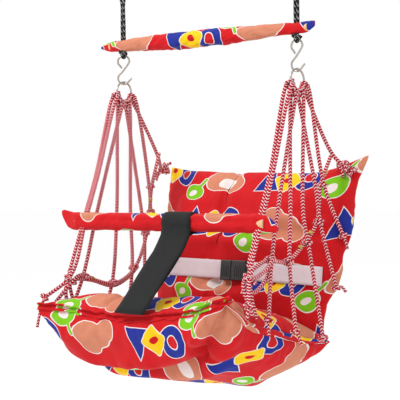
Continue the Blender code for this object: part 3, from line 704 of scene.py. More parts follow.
WRAPPED = (3, 4, 5, 6, 7)  # the cross cord's places that have turns round a strand, the last only one
WRAP_CORD_R = 0.0027
WRAP_WIDE, WRAP_DEEP, WRAP_PITCH, WRAP_WAVE = 0.0085, 0.0058, 0.0055, 0.0020
HITCH_R = 0.0028          # of the rope where it is pulled tight round the ring
HITCH_STEP = 15           # degrees of the ring between neighbouring turns
HITCH_BAND = (0.0062, 0.0072, 0.0012)       # the bight's half width, half length and wave
HITCH_DROP = 0.0080
HITCH_SKEW = 0.0012
# The front corner's knots: offset, axis, size, turn and rope radius
FRONT_KNOTS = (((0.006, 0.004), (0, -0.4, -1), 0.0125, 0.5, 0.0029),
               ((0.003, 0.010), (1, 0.3, 0.2), 0.0110, 1.5, 0.0028))
# The ties round the back cushion's upper corners
LEFT_CORNER = Vector((-0.236, 0.148, -0.394))
LEFT_TAILS = (((-0.226, 0.136, -0.391), (-0.216, 0.133, -0.384), (-0.207, 0.132, -0.381)),
              ((-0.243, 0.142, -0.400), (-0.250, 0.139, -0.407), (-0.254, 0.138, -0.418)))
EAR_TILT = 0.0035
EAR_NECK, EAR_TIP = Vector((0.226, 0.145, -0.399)), Vector((0.262, 0.172, -0.378))


def strand(sign, places):
    """A strand's points: straight down under the ring, then outwards to its end."""
    points = []
    for i, (y, drop) in enumerate(places):
        out = max(0.0, 2 * (i / (len(places) - 1)) - 1)
        points.append(below(sign * (HALF_SPAN + (EDGE_OUT - HALF_SPAN) * out), y, drop))
    return points


def on_ring(sign, degrees, further=0.0):
    """A point on the ring's wire, with the ways out from its centre and along it."""
    a = math.radians(degrees)
    outward = Vector((0, math.sin(a), -math.cos(a)))
    ahead = Vector((0, math.cos(a), math.sin(a)))
    return below(sign * HALF_SPAN, 0, RING_DROP) + outward * (RING_R + further), outward, ahead


def hitch(tubes, sign, number):
    """The rope's turns round the ring, and the bight that holds them down."""
    place = RING_PLACES[number]
    reach = WIRE_R + HITCH_R
    for turn in (-1, 0, 1):
        wire, outward, ahead = on_ring(sign, place + turn * HITCH_STEP)
        skew = HITCH_SKEW * (turn - 0.4)
        tubes.add(oval_loop(wire, X * reach + ahead * skew, outward * reach, 16), HITCH_R, closed=True)
    under, outward, ahead = on_ring(sign, place, HITCH_DROP)
    half_width, half_length, wave = HITCH_BAND
    bight = oval_loop(under, X * half_width, ahead * half_length, 20, outward * wave, 2)
    tubes.add(bight, HITCH_R, closed=True)


def end_knot(tubes, points, tail, seed):
    """A knot at a strand's end, with the tail that hangs from it."""
    centre = points[-1]
    way = (points[-1] - points[-2]).normalized()
    turn = random.Random(seed).uniform(0, 6)
    tubes.add(knot_loop(centre, way, 0.0078, turn, 0.9), TAIL_R, closed=True)
    if tail:
        route = [centre]
        for step in tail:
            route.append(route[-1] + Vector(step))
        route = smooth_line(route, 0.003)
        tubes.add(route, [TAIL_R] * (len(route) - 1) + [TAIL_END_R])


def net_rope(tubes, side, number):
    """One doubled rope: its two strands with their knots and tails, and its hitch on the ring."""
    sign = -1 if side == "left" else 1
    wire, outward, _ = on_ring(sign, RING_PLACES[number])
    reach = WIRE_R + ROPE_R + GAP
    routes = []
    for way, places in zip((1, -1), NET[side][number]):
        points = strand(sign, places)
        if number == 0:
            for point in points[:3]:
                point.x = sign * HALF_SPAN + STRAND_OFFSET * way
        start = wire + X * reach * way
        routes.append(smooth_line([start, start + outward * 0.008, *points], 0.005))
    for index, (route, tail) in enumerate(zip(routes, TAILS[side][number])):
        tubes.add(route, ROPE_R)
        if number or index == 0:
            end_knot(tubes, route, tail, f"{side}{number}{index}")
    hitch(tubes, sign, number)


def node_wraps(tubes, sign, point, way, turns):
    """Turns of the cross cord round the strand that it meets."""
    way = way.normalized()
    depth = way.cross(X).normalized()
    centre = Vector((sign * (HALF_SPAN - CORD_BESIDE / 2), point.y, point.z))
    for turn in range(turns):
        middle = centre + way * WRAP_PITCH * (turn - (turns - 1) / 2)
        wrap = oval_loop(middle, X * WRAP_WIDE, depth * WRAP_DEEP, 20, way * WRAP_WAVE, 1, turn)
        tubes.add(wrap, WRAP_CORD_R, closed=True)


def ear_turn(tubes, centre, way, size, turn):
    """A turn of rope round the cushion's drawn-out corner."""
    way = Vector(way).normalized()
    a = way.orthogonal().normalized()
    b = way.cross(a)
    tilt = EAR_TILT * math.cos(turn * 2.0)
    tubes.add(oval_loop(centre, a * size, b * size * 0.8, 28, way * tilt, 1, turn), TAIL_R, closed=True)


def corner_tie(tubes, side):
    """The tie round the back cushion's upper corner."""
    if side == "left":
        for turn in range(2):
            ear_turn(tubes, LEFT_CORNER + Vector((0.003 * turn, 0, 0.002)), (1, 0.4, 0.5), 0.0125, turn)
        for tail in LEFT_TAILS:
            tubes.add(smooth_line([LEFT_CORNER, *tail], 0.003), CORNER_TAIL_R)
    else:
        for turn in range(4):
            place = EAR_NECK.lerp(EAR_TIP, 0.13 * turn - 0.12)
            ear_turn(tubes, place, EAR_TIP - EAR_NECK, 0.0160 - 0.0014 * turn, turn)
        knot = EAR_NECK + Vector((0.010, -0.014, 0.004))
        tubes.add(knot_loop(knot, (0.3, -1, 0), 0.0085, 0.7), TAIL_R, closed=True)


def rope_net(side, finish):
    """One side's net: four doubled ropes on the ring, and the cross cord that ties them together."""
    sign = -1 if side == "left" else 1
    tubes = Tubes()
    for number in range(4):
        net_rope(tubes, side, number)
    inside = HALF_SPAN - CORD_BESIDE
    points = [below(sign * inside, y, drop) for y, drop in CROSS_CORD[side]]
    points[0].x = sign * (inside + CORD_START_OUT)
    tubes.add(smooth_line(points, 0.005), ROPE_R)
    for places, aside in SECOND_CORD[side]:
        extra = [below(sign * (inside + aside), y, drop) for y, drop in places]
        tubes.add(smooth_line(extra, 0.004), ROPE_R)
    for i in WRAPPED:
        node_wraps(tubes, sign, points[i], points[i + 1] - points[i - 1], 2 if i < WRAPPED[-1] else 1)
    for (dy, dz), axis, size, turn, radius in FRONT_KNOTS:
        place = Vector((sign * HALF_SPAN, points[1].y + dy, points[1].z + dz))
        tubes.add(knot_loop(place, axis, size, turn), radius, closed=True)
    corner_tie(tubes, side)
    nodes = [f"net_rope_{side}_{number + 1}" for number in range(4)] + [f"cross_cord_{side}"]
    tubes.build(f"rope_net_{side}", finish, "seat", nodes, "red_rope")


# Crotch strap

STRAP_WIDTH = 0.070
STRAP_THICK = 0.0024
STRAP_X, STRAP_FOOT_X = 0.034, 0.004        # of its middle at the bar and at the seam
STRAP_FOOT = Vector((0, -0.243, -0.662))
STRAP_LAYER_FROM, STRAP_LAYER_TO = 11, 34   # of the strap's steps, where it is doubled round the bar
STRAP_LEAN_SHARE = 0.80   # of the way up to the bar, over which the strap leans sideways
STRAP_OFF_BAR = 0.0014
STRAP_ROUND, STRAP_STEPS = 28, 14           # its steps round the bar and on each side
STRAP_WAVE = 0.0016
FRONT_BAR_HALF_DEPTH, FRONT_BAR_HALF_HEIGHT = 0.0140, 0.0170
BAND_CELLS = 8            # across a band
BAND_EDGE = 0.35          # a band's thickness at its edges, as a share of the rest


def band(name, line, half_width, thick, finish):
    """A flat band along a line of (centre, across, out) places, thinner at its edges."""
    shares = [-1 + 2 * k / BAND_CELLS for k in range(BAND_CELLS + 1)]
    outline = [(s, 1) for s in shares] + [(s, -1) for s in reversed(shares)]
    skin = Skin()
    for centre, across, out in line:
        for s, face in outline:
            edge = BAND_EDGE if abs(s) == 1 else 1.0
            skin.verts.append(centre + across * half_width * s + out * (thick / 2 * face * edge))
    along = distances([centre for centre, _, _ in line])
    n = len(outline)
    skin.close(0, len(line), n, lambda row, k: (outline[k % n][0] * half_width, along[row]))
    return skin.piece(name, finish)


def crotch_strap(finish):
    """One band: up from the seat's front seam, over the front bar and down again beside itself."""
    foot, bar = STRAP_FOOT, below(0, FRONT_BAR_Y, FRONT_BAR_DROP)
    reach_y, reach_z = (half + STRAP_THICK / 2 + STRAP_OFF_BAR
                        for half in (FRONT_BAR_HALF_DEPTH, FRONT_BAR_HALF_HEIGHT))
    down = (foot - bar).normalized()
    across = Vector((0, down.z, -down.y))
    spacing = STRAP_THICK / 2 + GAP
    throat = bar + down * (FRONT_BAR_HALF_HEIGHT + 0.012)
    line = [foot.lerp(throat, k / STRAP_STEPS) + across * spacing for k in range(STRAP_STEPS + 1)]
    start = math.atan2(down.z, down.y)
    for step in range(STRAP_ROUND + 1):
        a = start - math.radians(30 + 300 * step / STRAP_ROUND)
        line.append(bar + Vector((0, reach_y * math.cos(a), reach_z * math.sin(a))))
    line += [throat.lerp(foot, k / STRAP_STEPS) - across * spacing for k in range(STRAP_STEPS + 1)]
    places = []
    for i, point in enumerate(line):
        way = line[min(i + 1, len(line) - 1)] - line[max(i - 1, 0)]
        out = Vector((0, way.z, -way.y)).normalized()
        share = min(1.0, max(0.0, (point.z - foot.z) / (bar.z - foot.z)))
        wave = STRAP_WAVE * math.sin(share * 9) * (1 - share)
        risen = min(1.0, (point.z - foot.z) / (throat.z - foot.z) / STRAP_LEAN_SHARE)
        x = STRAP_FOOT_X + (STRAP_X - STRAP_FOOT_X) * risen
        places.append((Vector((x, point.y, point.z)) + out * wave, X, out))
    layer = [(p + out * 0.0016, across, out) for p, across, out in places[STRAP_LAYER_FROM:STRAP_LAYER_TO]]
    over = band("crotch_strap_loop", layer, STRAP_WIDTH / 2 + 0.0006, 0.0018, finish)
    settle(over, "front_bar", ())
    strap = band("crotch_strap_webbing", places, STRAP_WIDTH / 2, STRAP_THICK, finish)
    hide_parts("crotch_strap")
    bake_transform(strap)


# Cushions

# Each cushion's middle line as (y, drop) places, and the shape of its skin round that line
CUSHIONS = {
    "seat": {
        "line": [(-0.235, 0.508), (-0.188, 0.541), (-0.117, 0.566), (-0.063, 0.579), (0.030, 0.600),
                 (0.078, 0.606)],
        "half_thick": 0.062, "power": 4.0, "side_power": 6.5, "sag": 0.028, "seam_sag": 0.014, "tilt": 0.035,
    },
    "back": {
        "line": [(0.103, 0.582), (0.108, 0.510), (0.120, 0.435), (0.138, 0.350), (0.154, 0.256)],
        "half_thick": 0.043, "power": 4.0, "side_power": 5.0, "sag": 0.0, "seam_sag": 0.0, "tilt": -0.020,
    },
}
SEAM_REACH = 0.08         # the share of the way along over which the seat's front seam sags
RUN = 0.335               # along a cushion's line, for turning shares into metres
RIM_RUN, BELT_RUN = 0.33, 0.332             # the same, where the rim and the belt are measured
STEPS_ACROSS, STEPS_ALONG = 96, 72
START_INSET = 0.004       # the cushion starts this much smaller, because the pressure swells it
PRESSURE = 4.0
SIM_FRAMES = 18
MOVE_LIMIT = 0.014
SEAM_SHRINK, SEAM_WIDTH = 0.10, 0.012
CREASE_RIDGE = 0.35       # the swell beside a crease, as a share of its depth
CREST_RISE = 0.010        # of the seat's front edge above its middle
BELLY_LIFT = 0.012        # of the seat's underside between its two bellies
SEW_REACH = 0.045         # over which the cushions are drawn towards the seam that joins them
SEW_SHARE = 0.45          # of the way from the back's seam to the seat's, where the two meet
# The lines along the back's creases where a dark thread is laid as painted crease shade, as (x, share) places
PAINTED_CREASE_LINES = {"back": [[(-0.028, 0.99), (-0.034, 0.88), (-0.030, 0.66), (-0.036, 0.48)],
                  [(-0.036, 0.30), (-0.030, 0.25), (-0.040, 0.19)]]}
PAINTED_CREASE_R = 0.0009           # of the dark thread laid in the creases as painted crease shade
PAINTED_CREASE_BLUR = 0.0035        # how much of the skin a thread's place is averaged over

BELT_ALONG_BACK = 0.33    # the belt's share of the way up the back
BELT_OFF, BELT_PROUD = 0.0014, 0.0002
BELT_PRESS = 0.0030       # from the skin's starting place to where the belt holds it
BELT_EASE = 0.035         # from the belt's edge to where the skin is free
BELT_STEPS = 28
BELT_LEFT, BELT_RIGHT = -0.222, 0.214
WEBBING_WIDTH, WEBBING_THICK = 0.038, 0.0016
BUCKLE_X, BUCKLE_HALF = 0.0155, 0.031
BELT_UNDER = 0.006        # of each half of the belt inside the buckle


class Cushion:
    """A cushion's skin as a grid, each vertex with its x, its share of the way along and its face."""

    def __init__(self, kind):
        self.kind = kind
        self.shape = CUSHIONS[kind]
        line = smooth_line([Vector((y, 0, -drop)) for y, drop in self.shape["line"]], 0.002)
        self.line = np.array([(p.x, p.z) for p in line])
        self.ways = np.gradient(self.line, axis=0)
        self.ways /= np.linalg.norm(self.ways, axis=1)[:, None]
        self.make_grid()

    def skin(self, x, share, face, inset=0.0):
        """Points of the skin, as the CAD has them."""
        shape = self.shape
        reach = np.minimum(1.0, np.abs(x) / (SEAT_WIDTH / 2 - inset))
        at = share * (len(self.line) - 1)
        place, way = (curve_at(points, at) for points in (self.line, self.ways))
        full = np.sqrt(np.clip(1 - np.abs(2 * share - 1) ** shape["power"], 0, 1))
        side = np.sqrt(np.clip(1 - reach ** shape["side_power"], 0, 1))
        thick = (shape["half_thick"] - inset) * full * side * face
        bow = 1 - (2 * x / SEAT_WIDTH) ** 2
        sag = shape["sag"] * bow * (0.3 + 0.7 * np.sin(np.pi * share))
        sag = sag + shape["seam_sag"] * bow * np.exp(-(share / SEAM_REACH) ** 2)
        y = place[..., 0] - way[..., 1] * thick
        z = place[..., 1] + way[..., 0] * thick + shape["tilt"] * x - sag - BAR_DROP
        return np.stack([x, y, z], -1)

    def make_grid(self):
        """Two faces that share their edge, with steps that are finer towards it."""
        nx, ns = STEPS_ACROSS, STEPS_ALONG
        half_width = SEAT_WIDTH / 2 - START_INSET
        xs = -half_width * np.cos(np.pi * np.arange(nx + 1) / nx)
        shares = (1 - np.cos(np.pi * np.arange(ns + 1) / ns)) / 2
        x, s = np.meshgrid(xs, shares, indexing="ij")
        top_index = np.arange(x.size).reshape(x.shape)
        inner = np.zeros_like(top_index, bool)
        inner[1:-1, 1:-1] = True
        bottom_index = top_index.copy()
        bottom_index[inner] = x.size + np.arange(inner.sum())
        points = {}
        self.faces, self.uvs = [], []
        for face, index in ((1, top_index), (-1, bottom_index)):
            at = points[face] = self.skin(x, s, face, START_INSET)
            v = np.cumsum(np.linalg.norm(np.diff(at, axis=1, prepend=at[:, :1]), axis=2), axis=1)
            u = np.cumsum(np.linalg.norm(np.diff(at, axis=0, prepend=at[:1]), axis=2), axis=0)
            uv = np.stack([u - u[nx // 2], v], -1)
            for i in range(nx):
                for k in range(ns):
                    ring = [(i, k), (i + 1, k), (i + 1, k + 1), (i, k + 1)][::face]
                    self.faces.append([int(index[corner]) for corner in ring])
                    self.uvs.append([tuple(uv[corner]) for corner in ring])
        self.verts = np.concatenate([points[1].reshape(-1, 3), points[-1][inner]])
        rim = np.minimum.reduce([s * RIM_RUN, (1 - s) * RIM_RUN, half_width - np.abs(x)])
        self.x, self.s, self.rim = (np.concatenate([grid.reshape(-1), grid[inner]]) for grid in (x, s, rim))
        self.face = np.concatenate([np.ones(x.size), -np.ones(inner.sum())])
        self.edge = np.concatenate([(~inner).reshape(-1), np.zeros(inner.sum(), bool)])
        self.free = np.ones(len(self.x))

    def make(self, finish):
        self.obj = new_piece(f"{self.kind}_cushion", self.verts, self.faces, self.uvs, finish)

    def read(self, what="co", mesh=None):
        """The vertices' places or normals."""
        vertices = (mesh or self.obj.data).vertices
        out = np.empty(len(vertices) * 3)
        vertices.foreach_get(what, out)
        return out.reshape(-1, 3)

    def write(self, co):
        self.obj.data.vertices.foreach_set("co", co.reshape(-1))
        self.obj.data.update()


def add_cloth(cushion):
    obj = cushion.obj
    group = obj.vertex_groups.new(name="seam")
    for index in np.flatnonzero(cushion.rim < SEAM_WIDTH):
        group.add([int(index)], float(1 - cushion.rim[index] / SEAM_WIDTH), "REPLACE")
    cloth = obj.modifiers.new("cloth", "CLOTH")
    settings = cloth.settings
    settings.quality = 5
    settings.mass = 0.12
    settings.tension_stiffness = 18
    settings.compression_stiffness = 12
    settings.shear_stiffness = 6
    settings.bending_stiffness = 0.03
    settings.use_pressure = True
    settings.uniform_pressure_force = PRESSURE
    settings.effector_weights.gravity = 0
    settings.vertex_group_shrink = "seam"
    settings.shrink_min = 0.0
    settings.shrink_max = SEAM_SHRINK
    cloth.collision_settings.use_collision = False


def simulate(cushions):
    """Inflate the cushions, cap how far a point moves, and hold the skin under the belt."""
    for cushion in cushions:
        add_cloth(cushion)
    for step in range(1, SIM_FRAMES + 1):
        bpy.context.scene.frame_set(step)
    graph = bpy.context.evaluated_depsgraph_get()
    for cushion in cushions:
        start = cushion.read()
        move = cushion.read(mesh=cushion.obj.evaluated_get(graph).data) - start
        far = np.linalg.norm(move, axis=1)[:, None]
        move *= MOVE_LIMIT * np.tanh(far / MOVE_LIMIT) / np.maximum(far, 1e-9)
        free = cushion.free[:, None]
        held = cushion.read("normal") * BELT_PRESS
        cushion.obj.modifiers.clear()
        cushion.obj.vertex_groups.clear()
        cushion.write(start + move * free + held * (1 - free))
    bpy.context.scene.frame_set(1)


def crease(cushion, face, line, width, depth):
    """Press a crease into one face along a line of (x, share) points."""
    p = np.stack([cushion.x, cushion.s * RUN], -1)
    best = np.full(len(p), 9.0)
    fade = np.zeros(len(p))
    points = [np.array((x, s * RUN)) for x, s in line]
    total = sum(np.linalg.norm(b - a) for a, b in zip(points, points[1:]))
    run = 0.0
    for a, b in zip(points, points[1:]):
        size = np.linalg.norm(b - a)
        t = np.clip(((p - a) @ (b - a)) / size ** 2, 0, 1)
        d = np.linalg.norm(p - a - t[:, None] * (b - a), axis=1)
        closer = d < best
        best = np.where(closer, d, best)
        share = (run + t * size) / total
        fade = np.where(closer, np.sin(np.pi * np.clip(0.08 + share * 0.84, 0, 1)) ** 0.6, fade)
        run += size
    swell = CREASE_RIDGE * depth * np.exp(-((best - 2.2 * width) / width) ** 2)
    push = -depth * np.exp(-(best / width) ** 2) + swell
    push = np.where((cushion.face == face) | cushion.edge, push * fade, 0)
    cushion.write(cushion.read() + cushion.read("normal") * push[:, None])


def roughen(cushion, scale, height, seed):
    """Soft folds in the cloth, from smooth noise."""
    co = cushion.read()
    push = np.array([noise.noise(Vector((p * scale).tolist()) + Vector((seed, 0, 0))) for p in co])
    cushion.write(co + cushion.read("normal") * (push * height)[:, None])


def pull(cushion, x, share, offset, reach, face=0):
    """Draw the cloth round a place by an offset that fades with distance."""
    d = np.hypot(cushion.x - x, (cushion.s - share) * RUN)
    d = np.where(cushion.face == -face, 9.0, d) if face else d
    cushion.write(cushion.read() + np.exp(-(d / reach) ** 2)[:, None] * np.array(offset))


def bulge(cushion, share, size, width):
    """Widen the cushion on its right, most at a share of the way along."""
    t = np.clip((cushion.x - 0.09) / 0.145, 0, 1)
    co = cushion.read()
    co[:, 0] += size * t * t * (3 - 2 * t) * np.exp(-((cushion.s - share) / width) ** 2)
    cushion.write(co)


def pucker(cushion, height, pitch, seed):
    """Small gathers that run into the seams."""
    co = cushion.read()
    at_side = (SEAT_WIDTH / 2 - np.abs(cushion.x)) < np.minimum(cushion.s, 1 - cushion.s) * RUN
    run = np.where(at_side, cushion.s * RUN, cushion.x)
    drift = np.array([noise.noise(Vector((p * 30).tolist()) + Vector((0, seed, 0))) for p in co])
    wave = np.sin(run * 2 * math.pi / pitch + 5 * drift) * (0.6 + drift)
    rise = np.exp(-(cushion.rim / 0.030) ** 2) * np.clip(cushion.rim / 0.003, 0, 1)
    cushion.write(co + cushion.read("normal") * (wave * rise * height)[:, None])


def shape_seat(seat):
    """The seat's two bellies, its front fold, its gathers and its drawn corners."""
    roughen(seat, 14, 0.0040, 3)
    fold = [(-0.232, 0.34), (-0.12, 0.32), (0.04, 0.29), (0.12, 0.24), (0.185, 0.15), (0.230, 0.03)]
    crease(seat, -1, fold, 0.015, 0.032)
    pull(seat, -0.19, 0.20, (-0.010, -0.006, -0.016), 0.07, -1)
    pull(seat, -0.17, 0.62, (-0.008, 0.0, -0.012), 0.08, -1)
    pull(seat, 0.19, 0.60, (0.010, 0.0, -0.016), 0.09, -1)
    crease(seat, -1, [(0.046, 0.01), (0.056, 0.05), (0.072, 0.11)], 0.0055, 0.008)
    crease(seat, -1, [(0.130, 0.10), (0.150, 0.24), (0.200, 0.34)], 0.009, 0.008)
    crease(seat, 1, [(-0.10, 0.0), (-0.09, 0.10), (-0.10, 0.2)], 0.007, 0.006)
    pull(seat, -0.235, 0.0, (-0.026, -0.006, -0.008), 0.034)
    pull(seat, 0.235, 0.0, (0.000, 0.010, 0.012), 0.030)
    pull(seat, 0.235, 1.0, (0.006, 0.010, 0.004), 0.040)
    from_side = SEAT_WIDTH / 2 - np.abs(seat.x)
    crest = np.exp(-((seat.s - 0.13) / 0.09) ** 2) * np.clip(1 - np.abs(seat.x) / 0.235, 0, 1) ** 0.35
    rise = np.where(seat.face == 1, CREST_RISE * crest * np.clip(seat.s / 0.03, 0, 1), 0)
    lift = BELLY_LIFT * np.exp(-((seat.s - 0.48) / 0.16) ** 2) * np.clip(from_side / 0.05, 0, 1)
    co = seat.read()
    co[:, 2] += rise + np.where(seat.face == -1, lift, 0)
    seat.write(co)
    pucker(seat, 0.0026, 0.021, 4)


def shape_back(back):
    """The back's tucks and creases, its wide right side and its drawn-out upper corner."""
    roughen(back, 12, 0.0040, 8)
    crease(back, 1, [(-0.028, 1.0), (-0.034, 0.88), (-0.030, 0.66), (-0.036, 0.46)], 0.0100, 0.0085)
    crease(back, 1, [(-0.235, 0.56), (-0.05, 0.585), (0.10, 0.575), (0.235, 0.58)], 0.012, 0.010)
    crease(back, 1, [(-0.070, 0.24), (-0.030, 0.27), (0.012, 0.25)], 0.011, 0.010)
    crease(back, 1, [(-0.040, 0.31), (-0.034, 0.24), (-0.044, 0.17)], 0.008, 0.008)
    bulge(back, 0.80, 0.022, 0.28)
    bulge(back, 0.58, 0.020, 0.24)
    bulge(back, 0.10, -0.012, 0.22)
    pull(back, 0.235, 1.0, (0.016, 0.012, 0.012), 0.055)
    pull(back, 0.235, 1.0, (0.018, 0.012, 0.016), 0.024)
    pull(back, -0.235, 1.0, (-0.002, 0.0, 0.002), 0.030)
    pull(back, 0.235, 0.0, (0.004, -0.006, -0.026), 0.060)
    pucker(back, 0.0014, 0.024, 6)


def end_seam(cushion, end):
    """The seam at one end of a cushion, from left to right."""
    seam = cushion.read()[cushion.edge & (cushion.s == end)]
    return seam[np.argsort(seam[:, 0])]


def sew_together(seat, back):
    """Bring the seat's rear seam and the back's bottom seam to one line."""
    ends = ((seat, 1.0), (back, 0.0))
    xs = np.linspace(-SEAT_WIDTH / 2, SEAT_WIDTH / 2, 60)
    lines = []
    for seam in (end_seam(cushion, end) for cushion, end in ends):
        lines.append(np.stack([np.interp(xs, seam[:, 0], seam[:, c]) for c in (1, 2)], -1))
    middle = lines[0] * SEW_SHARE + lines[1] * (1 - SEW_SHARE)
    for (cushion, end), line in zip(ends, lines):
        co = cushion.read()
        weight = np.exp(-((cushion.s - end) * RUN / SEW_REACH) ** 2)
        for c in (0, 1):
            co[:, c + 1] += weight * np.interp(cushion.x, xs, middle[:, c] - line[:, c])
        cushion.write(co)


def painted_crease_points(cushion, line):
    """Places on a cushion's front face along a line of (x, share) points."""
    co, normals = cushion.read(), cushion.read("normal")
    points = []
    for x, s in curve_at(np.array(line), np.linspace(0, len(line) - 1, 40)):
        near = np.exp(-(((cushion.x - x) ** 2 + ((cushion.s - s) * RUN) ** 2) / PAINTED_CREASE_BLUR ** 2))
        near = (near + 1e-12) * (cushion.face == 1)
        near /= near.sum()
        points.append(Vector((near @ co + near @ normals * PAINTED_CREASE_R * 0.3).tolist()))
    return points


def finish_cushion(cushion):
    cushion.seam = end_seam(cushion, 0)
    cushion.side_seams = {}
    for side in (-1, 1):
        edge = np.flatnonzero(cushion.edge & (np.abs(cushion.x - side * np.abs(cushion.x).max()) < 1e-6))
        cushion.side_seams[side] = cushion.read()[edge[np.argsort(cushion.s[edge])]]
    # Where the dark thread of painted crease shade runs on the cushion's front face
    cushion.tucks = [painted_crease_points(cushion, line) for line in PAINTED_CREASE_LINES.get(cushion.kind, [])]
    subdivide(cushion.obj)
    settle(cushion.obj, "seat", [f"{cushion.kind}_cover", f"{cushion.kind}_filling"])


def make_cushions():
    seat, back = Cushion("seat"), Cushion("back")
    off_belt = np.abs(back.s - BELT_ALONG_BACK) * BELT_RUN - WEBBING_WIDTH / 2
    back.free = np.where(back.face == 1, np.clip(off_belt / BELT_EASE, 0, 1) ** 0.8, 1)
    seat.make(printed_cotton("printed_cotton_seat", (0.02, 0.01)))
    back.make(printed_cotton("printed_cotton_back", (0.11, 0.05)))
    simulate([seat, back])
    shape_seat(seat)
    shape_back(back)
    sew_together(seat, back)
    for cushion in (seat, back):
        finish_cushion(cushion)
    return seat, back


# The cushions' sewn edges

RUFFLE_FROM, RUFFLE_TO = -0.252, 0.228
RUFFLE_STEPS, RUFFLE_WIDTH, RUFFLE_SEED = 150, 0.0095, 3
RUFFLE_RISE = 0.0042      # of each lip above or below the seam
RUFFLE_THICK = 0.0014
RUFFLE_CELL = 0.004       # of the print across each of the lip's strips
ROLL_R, ROLL_SIDES, ROLL_STEPS = 0.0075, 14, 90
ROLL_FROM, ROLL_TO = 0.02, 0.90             # of the way along the seat
ROLL_CELL = 0.0036        # of the print across each of the roll's cells


def ruffle(name, cushion, finish):
    """Two gathered lips of cloth along a cushion's front seam, with the stitched groove between them."""
    xs = [RUFFLE_FROM + (RUFFLE_TO - RUFFLE_FROM) * i / RUFFLE_STEPS for i in range(RUFFLE_STEPS + 1)]
    seam, seed, thick = cushion.seam, RUFFLE_SEED, Vector((0, 0, RUFFLE_THICK))
    skin = Skin()
    for lip, rise in ((0, RUFFLE_RISE), (1, -RUFFLE_RISE)):
        first = len(skin.verts)
        for x in xs:
            at = Vector([float(np.interp(x, seam[:, 0], seam[:, c])) for c in range(3)])
            wave = noise.noise(Vector((x * 46, seed + lip * 5, 0)))
            flap = noise.noise(Vector((x * 95, seed + lip * 3, 4)))
            size = RUFFLE_WIDTH * (0.75 + 0.5 * noise.noise(Vector((x * 30, seed, lip * 7))))
            up = rise * (1 + 0.5 * wave)
            tip = at + Vector((0.002 * flap, -size, up * 1.5 + 0.0030 * flap))
            root = at + Vector((0, 0.006, up * 0.5))
            spots = ((root, 1), (root.lerp(tip, 0.55), 1.3), (tip, 0.9))
            skin.verts += [spot + thick * t for spot, t in spots]
            skin.verts += [spot - thick * t for spot, t in reversed(spots)]
        skin.close(first, len(xs), 6, lambda row, k: (xs[row], RUFFLE_CELL * min(k % 6, 5 - k % 6)))
    piece = skin.piece(name, finish)
    settle(piece, "seat", ())
    subdivide(piece)


def side_roll(name, cushion, side, finish):
    """The rolled edge of cloth along one side seam of a cushion."""
    seam = cushion.side_seams[side]
    points = curve_at(seam, np.linspace(ROLL_FROM, ROLL_TO, ROLL_STEPS) * (len(seam) - 1))
    out = X * side
    skin = Skin()
    for i, point in enumerate(points):
        share = i / (len(points) - 1)
        swell = math.sin(math.pi * min(1, max(0, share * 0.94 + 0.03))) ** 0.5
        size = ROLL_R * swell * (1 + 0.35 * noise.noise(Vector((share * 9, side, 0))))
        ahead = points[min(i + 1, len(points) - 1)] - points[max(i - 1, 0)]
        up = Vector(ahead.tolist()).normalized().cross(out).normalized()
        centre = Vector(point.tolist()) + out * 0.001
        for a in round_circle(ROLL_SIDES):
            fold = 1 + 0.22 * noise.noise(Vector((share * 26, math.cos(a) + side * 3, math.sin(a))))
            skin.verts.append(centre + (out * math.cos(a) * 0.75 + up * math.sin(a)) * size * fold)
    skin.close(0, len(points), ROLL_SIDES, lambda row, k: (row * ROLL_CELL, k * ROLL_CELL))
    settle(skin.piece(name, finish), "seat", ())


def tucks(name, cushion, finish):
    """A dark thread laid along a cushion's creases: painted crease shade."""
    tubes = Tubes()
    for points in cushion.tucks:
        tubes.add(points, PAINTED_CREASE_R)
    tubes.build(name, finish, "seat", (), "printed_cotton")


# Waist belt and buckle

BUCKLE_OUT, BUCKLE_UP = Vector((0, -0.99064, 0.13649)), Vector((0, 0.13649, 0.99064))
BUCKLE_FACE = Vector((BUCKLE_X, 0.0620, -0.6017)) + BUCKLE_OUT * 0.0056
# The grip ribs on each half: its body, their half length and their places along x
RIBS = {"socket": ("seat", 0.0165, (0.006, 0.011, 0.016, 0.021, 0.026)),
        "plug": ("buckle_plug", 0.0150, (-0.028, -0.0235, -0.019, -0.0145, -0.010))}
RIB_RADII = [0.0003, 0.0011, 0.0012, 0.0011, 0.0003]


def waist_strap(name, back, start, end, finish):
    """A band that lies on the back cushion's front."""
    half = WEBBING_WIDTH / 2 / BELT_RUN
    places = []
    for step in range(BELT_STEPS + 1):
        x = start + (end - start) * step / BELT_STEPS
        low, mid, high = (back.skin(np.array([x]), np.array([BELT_ALONG_BACK + k * half]), 1)[0]
                          for k in (-1, 0, 1))
        across = Vector(high - low).normalized()
        out = across.cross(X).normalized()
        if out.y > 0:
            out = -out
        lift = BELT_OFF + WEBBING_THICK / 2 + 0.0012 * math.sin(x * 40) ** 2 + BELT_PROUD
        places.append((Vector(mid) + out * lift, across, out))
    return band(name, places, WEBBING_WIDTH / 2, WEBBING_THICK, finish)


def waist_belt(back, finish):
    inner = BUCKLE_HALF - BELT_UNDER
    left = waist_strap("waist_belt_left", back, BELT_LEFT, BUCKLE_X - inner, finish)
    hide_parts("waist_strap_left")
    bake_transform(left)
    right = waist_strap("waist_belt_right", back, BUCKLE_X + inner, BELT_RIGHT, finish)
    settle(right, "seat", ["waist_strap_right"])


def buckle_ribs(finish):
    """Grip ribs moulded on the buckle's two halves."""
    for half, (body, reach, places) in RIBS.items():
        tubes = Tubes(8)
        for x in places:
            ends = [BUCKLE_FACE + X * x + BUCKLE_UP * reach * t for t in (-1, -0.5, 0, 0.5, 1)]
            tubes.add(ends, RIB_RADII)
        tubes.build(f"buckle_{half}_ribs", finish, body, (), "black_plastic")


# Covered bars

SLEEVE_SIDES, SLEEVE_STEP = 56, 0.0035
SLEEVE_ROUND = 0.11       # of the print round a sleeve
RIDGE_AT, RIDGE_WIDTH = 2.45, 0.24          # of a sleeve's rolled seam, in radians round it
GROOVE_AFTER, GROOVE_SHARE = 0.52, 0.6      # of the groove behind that seam
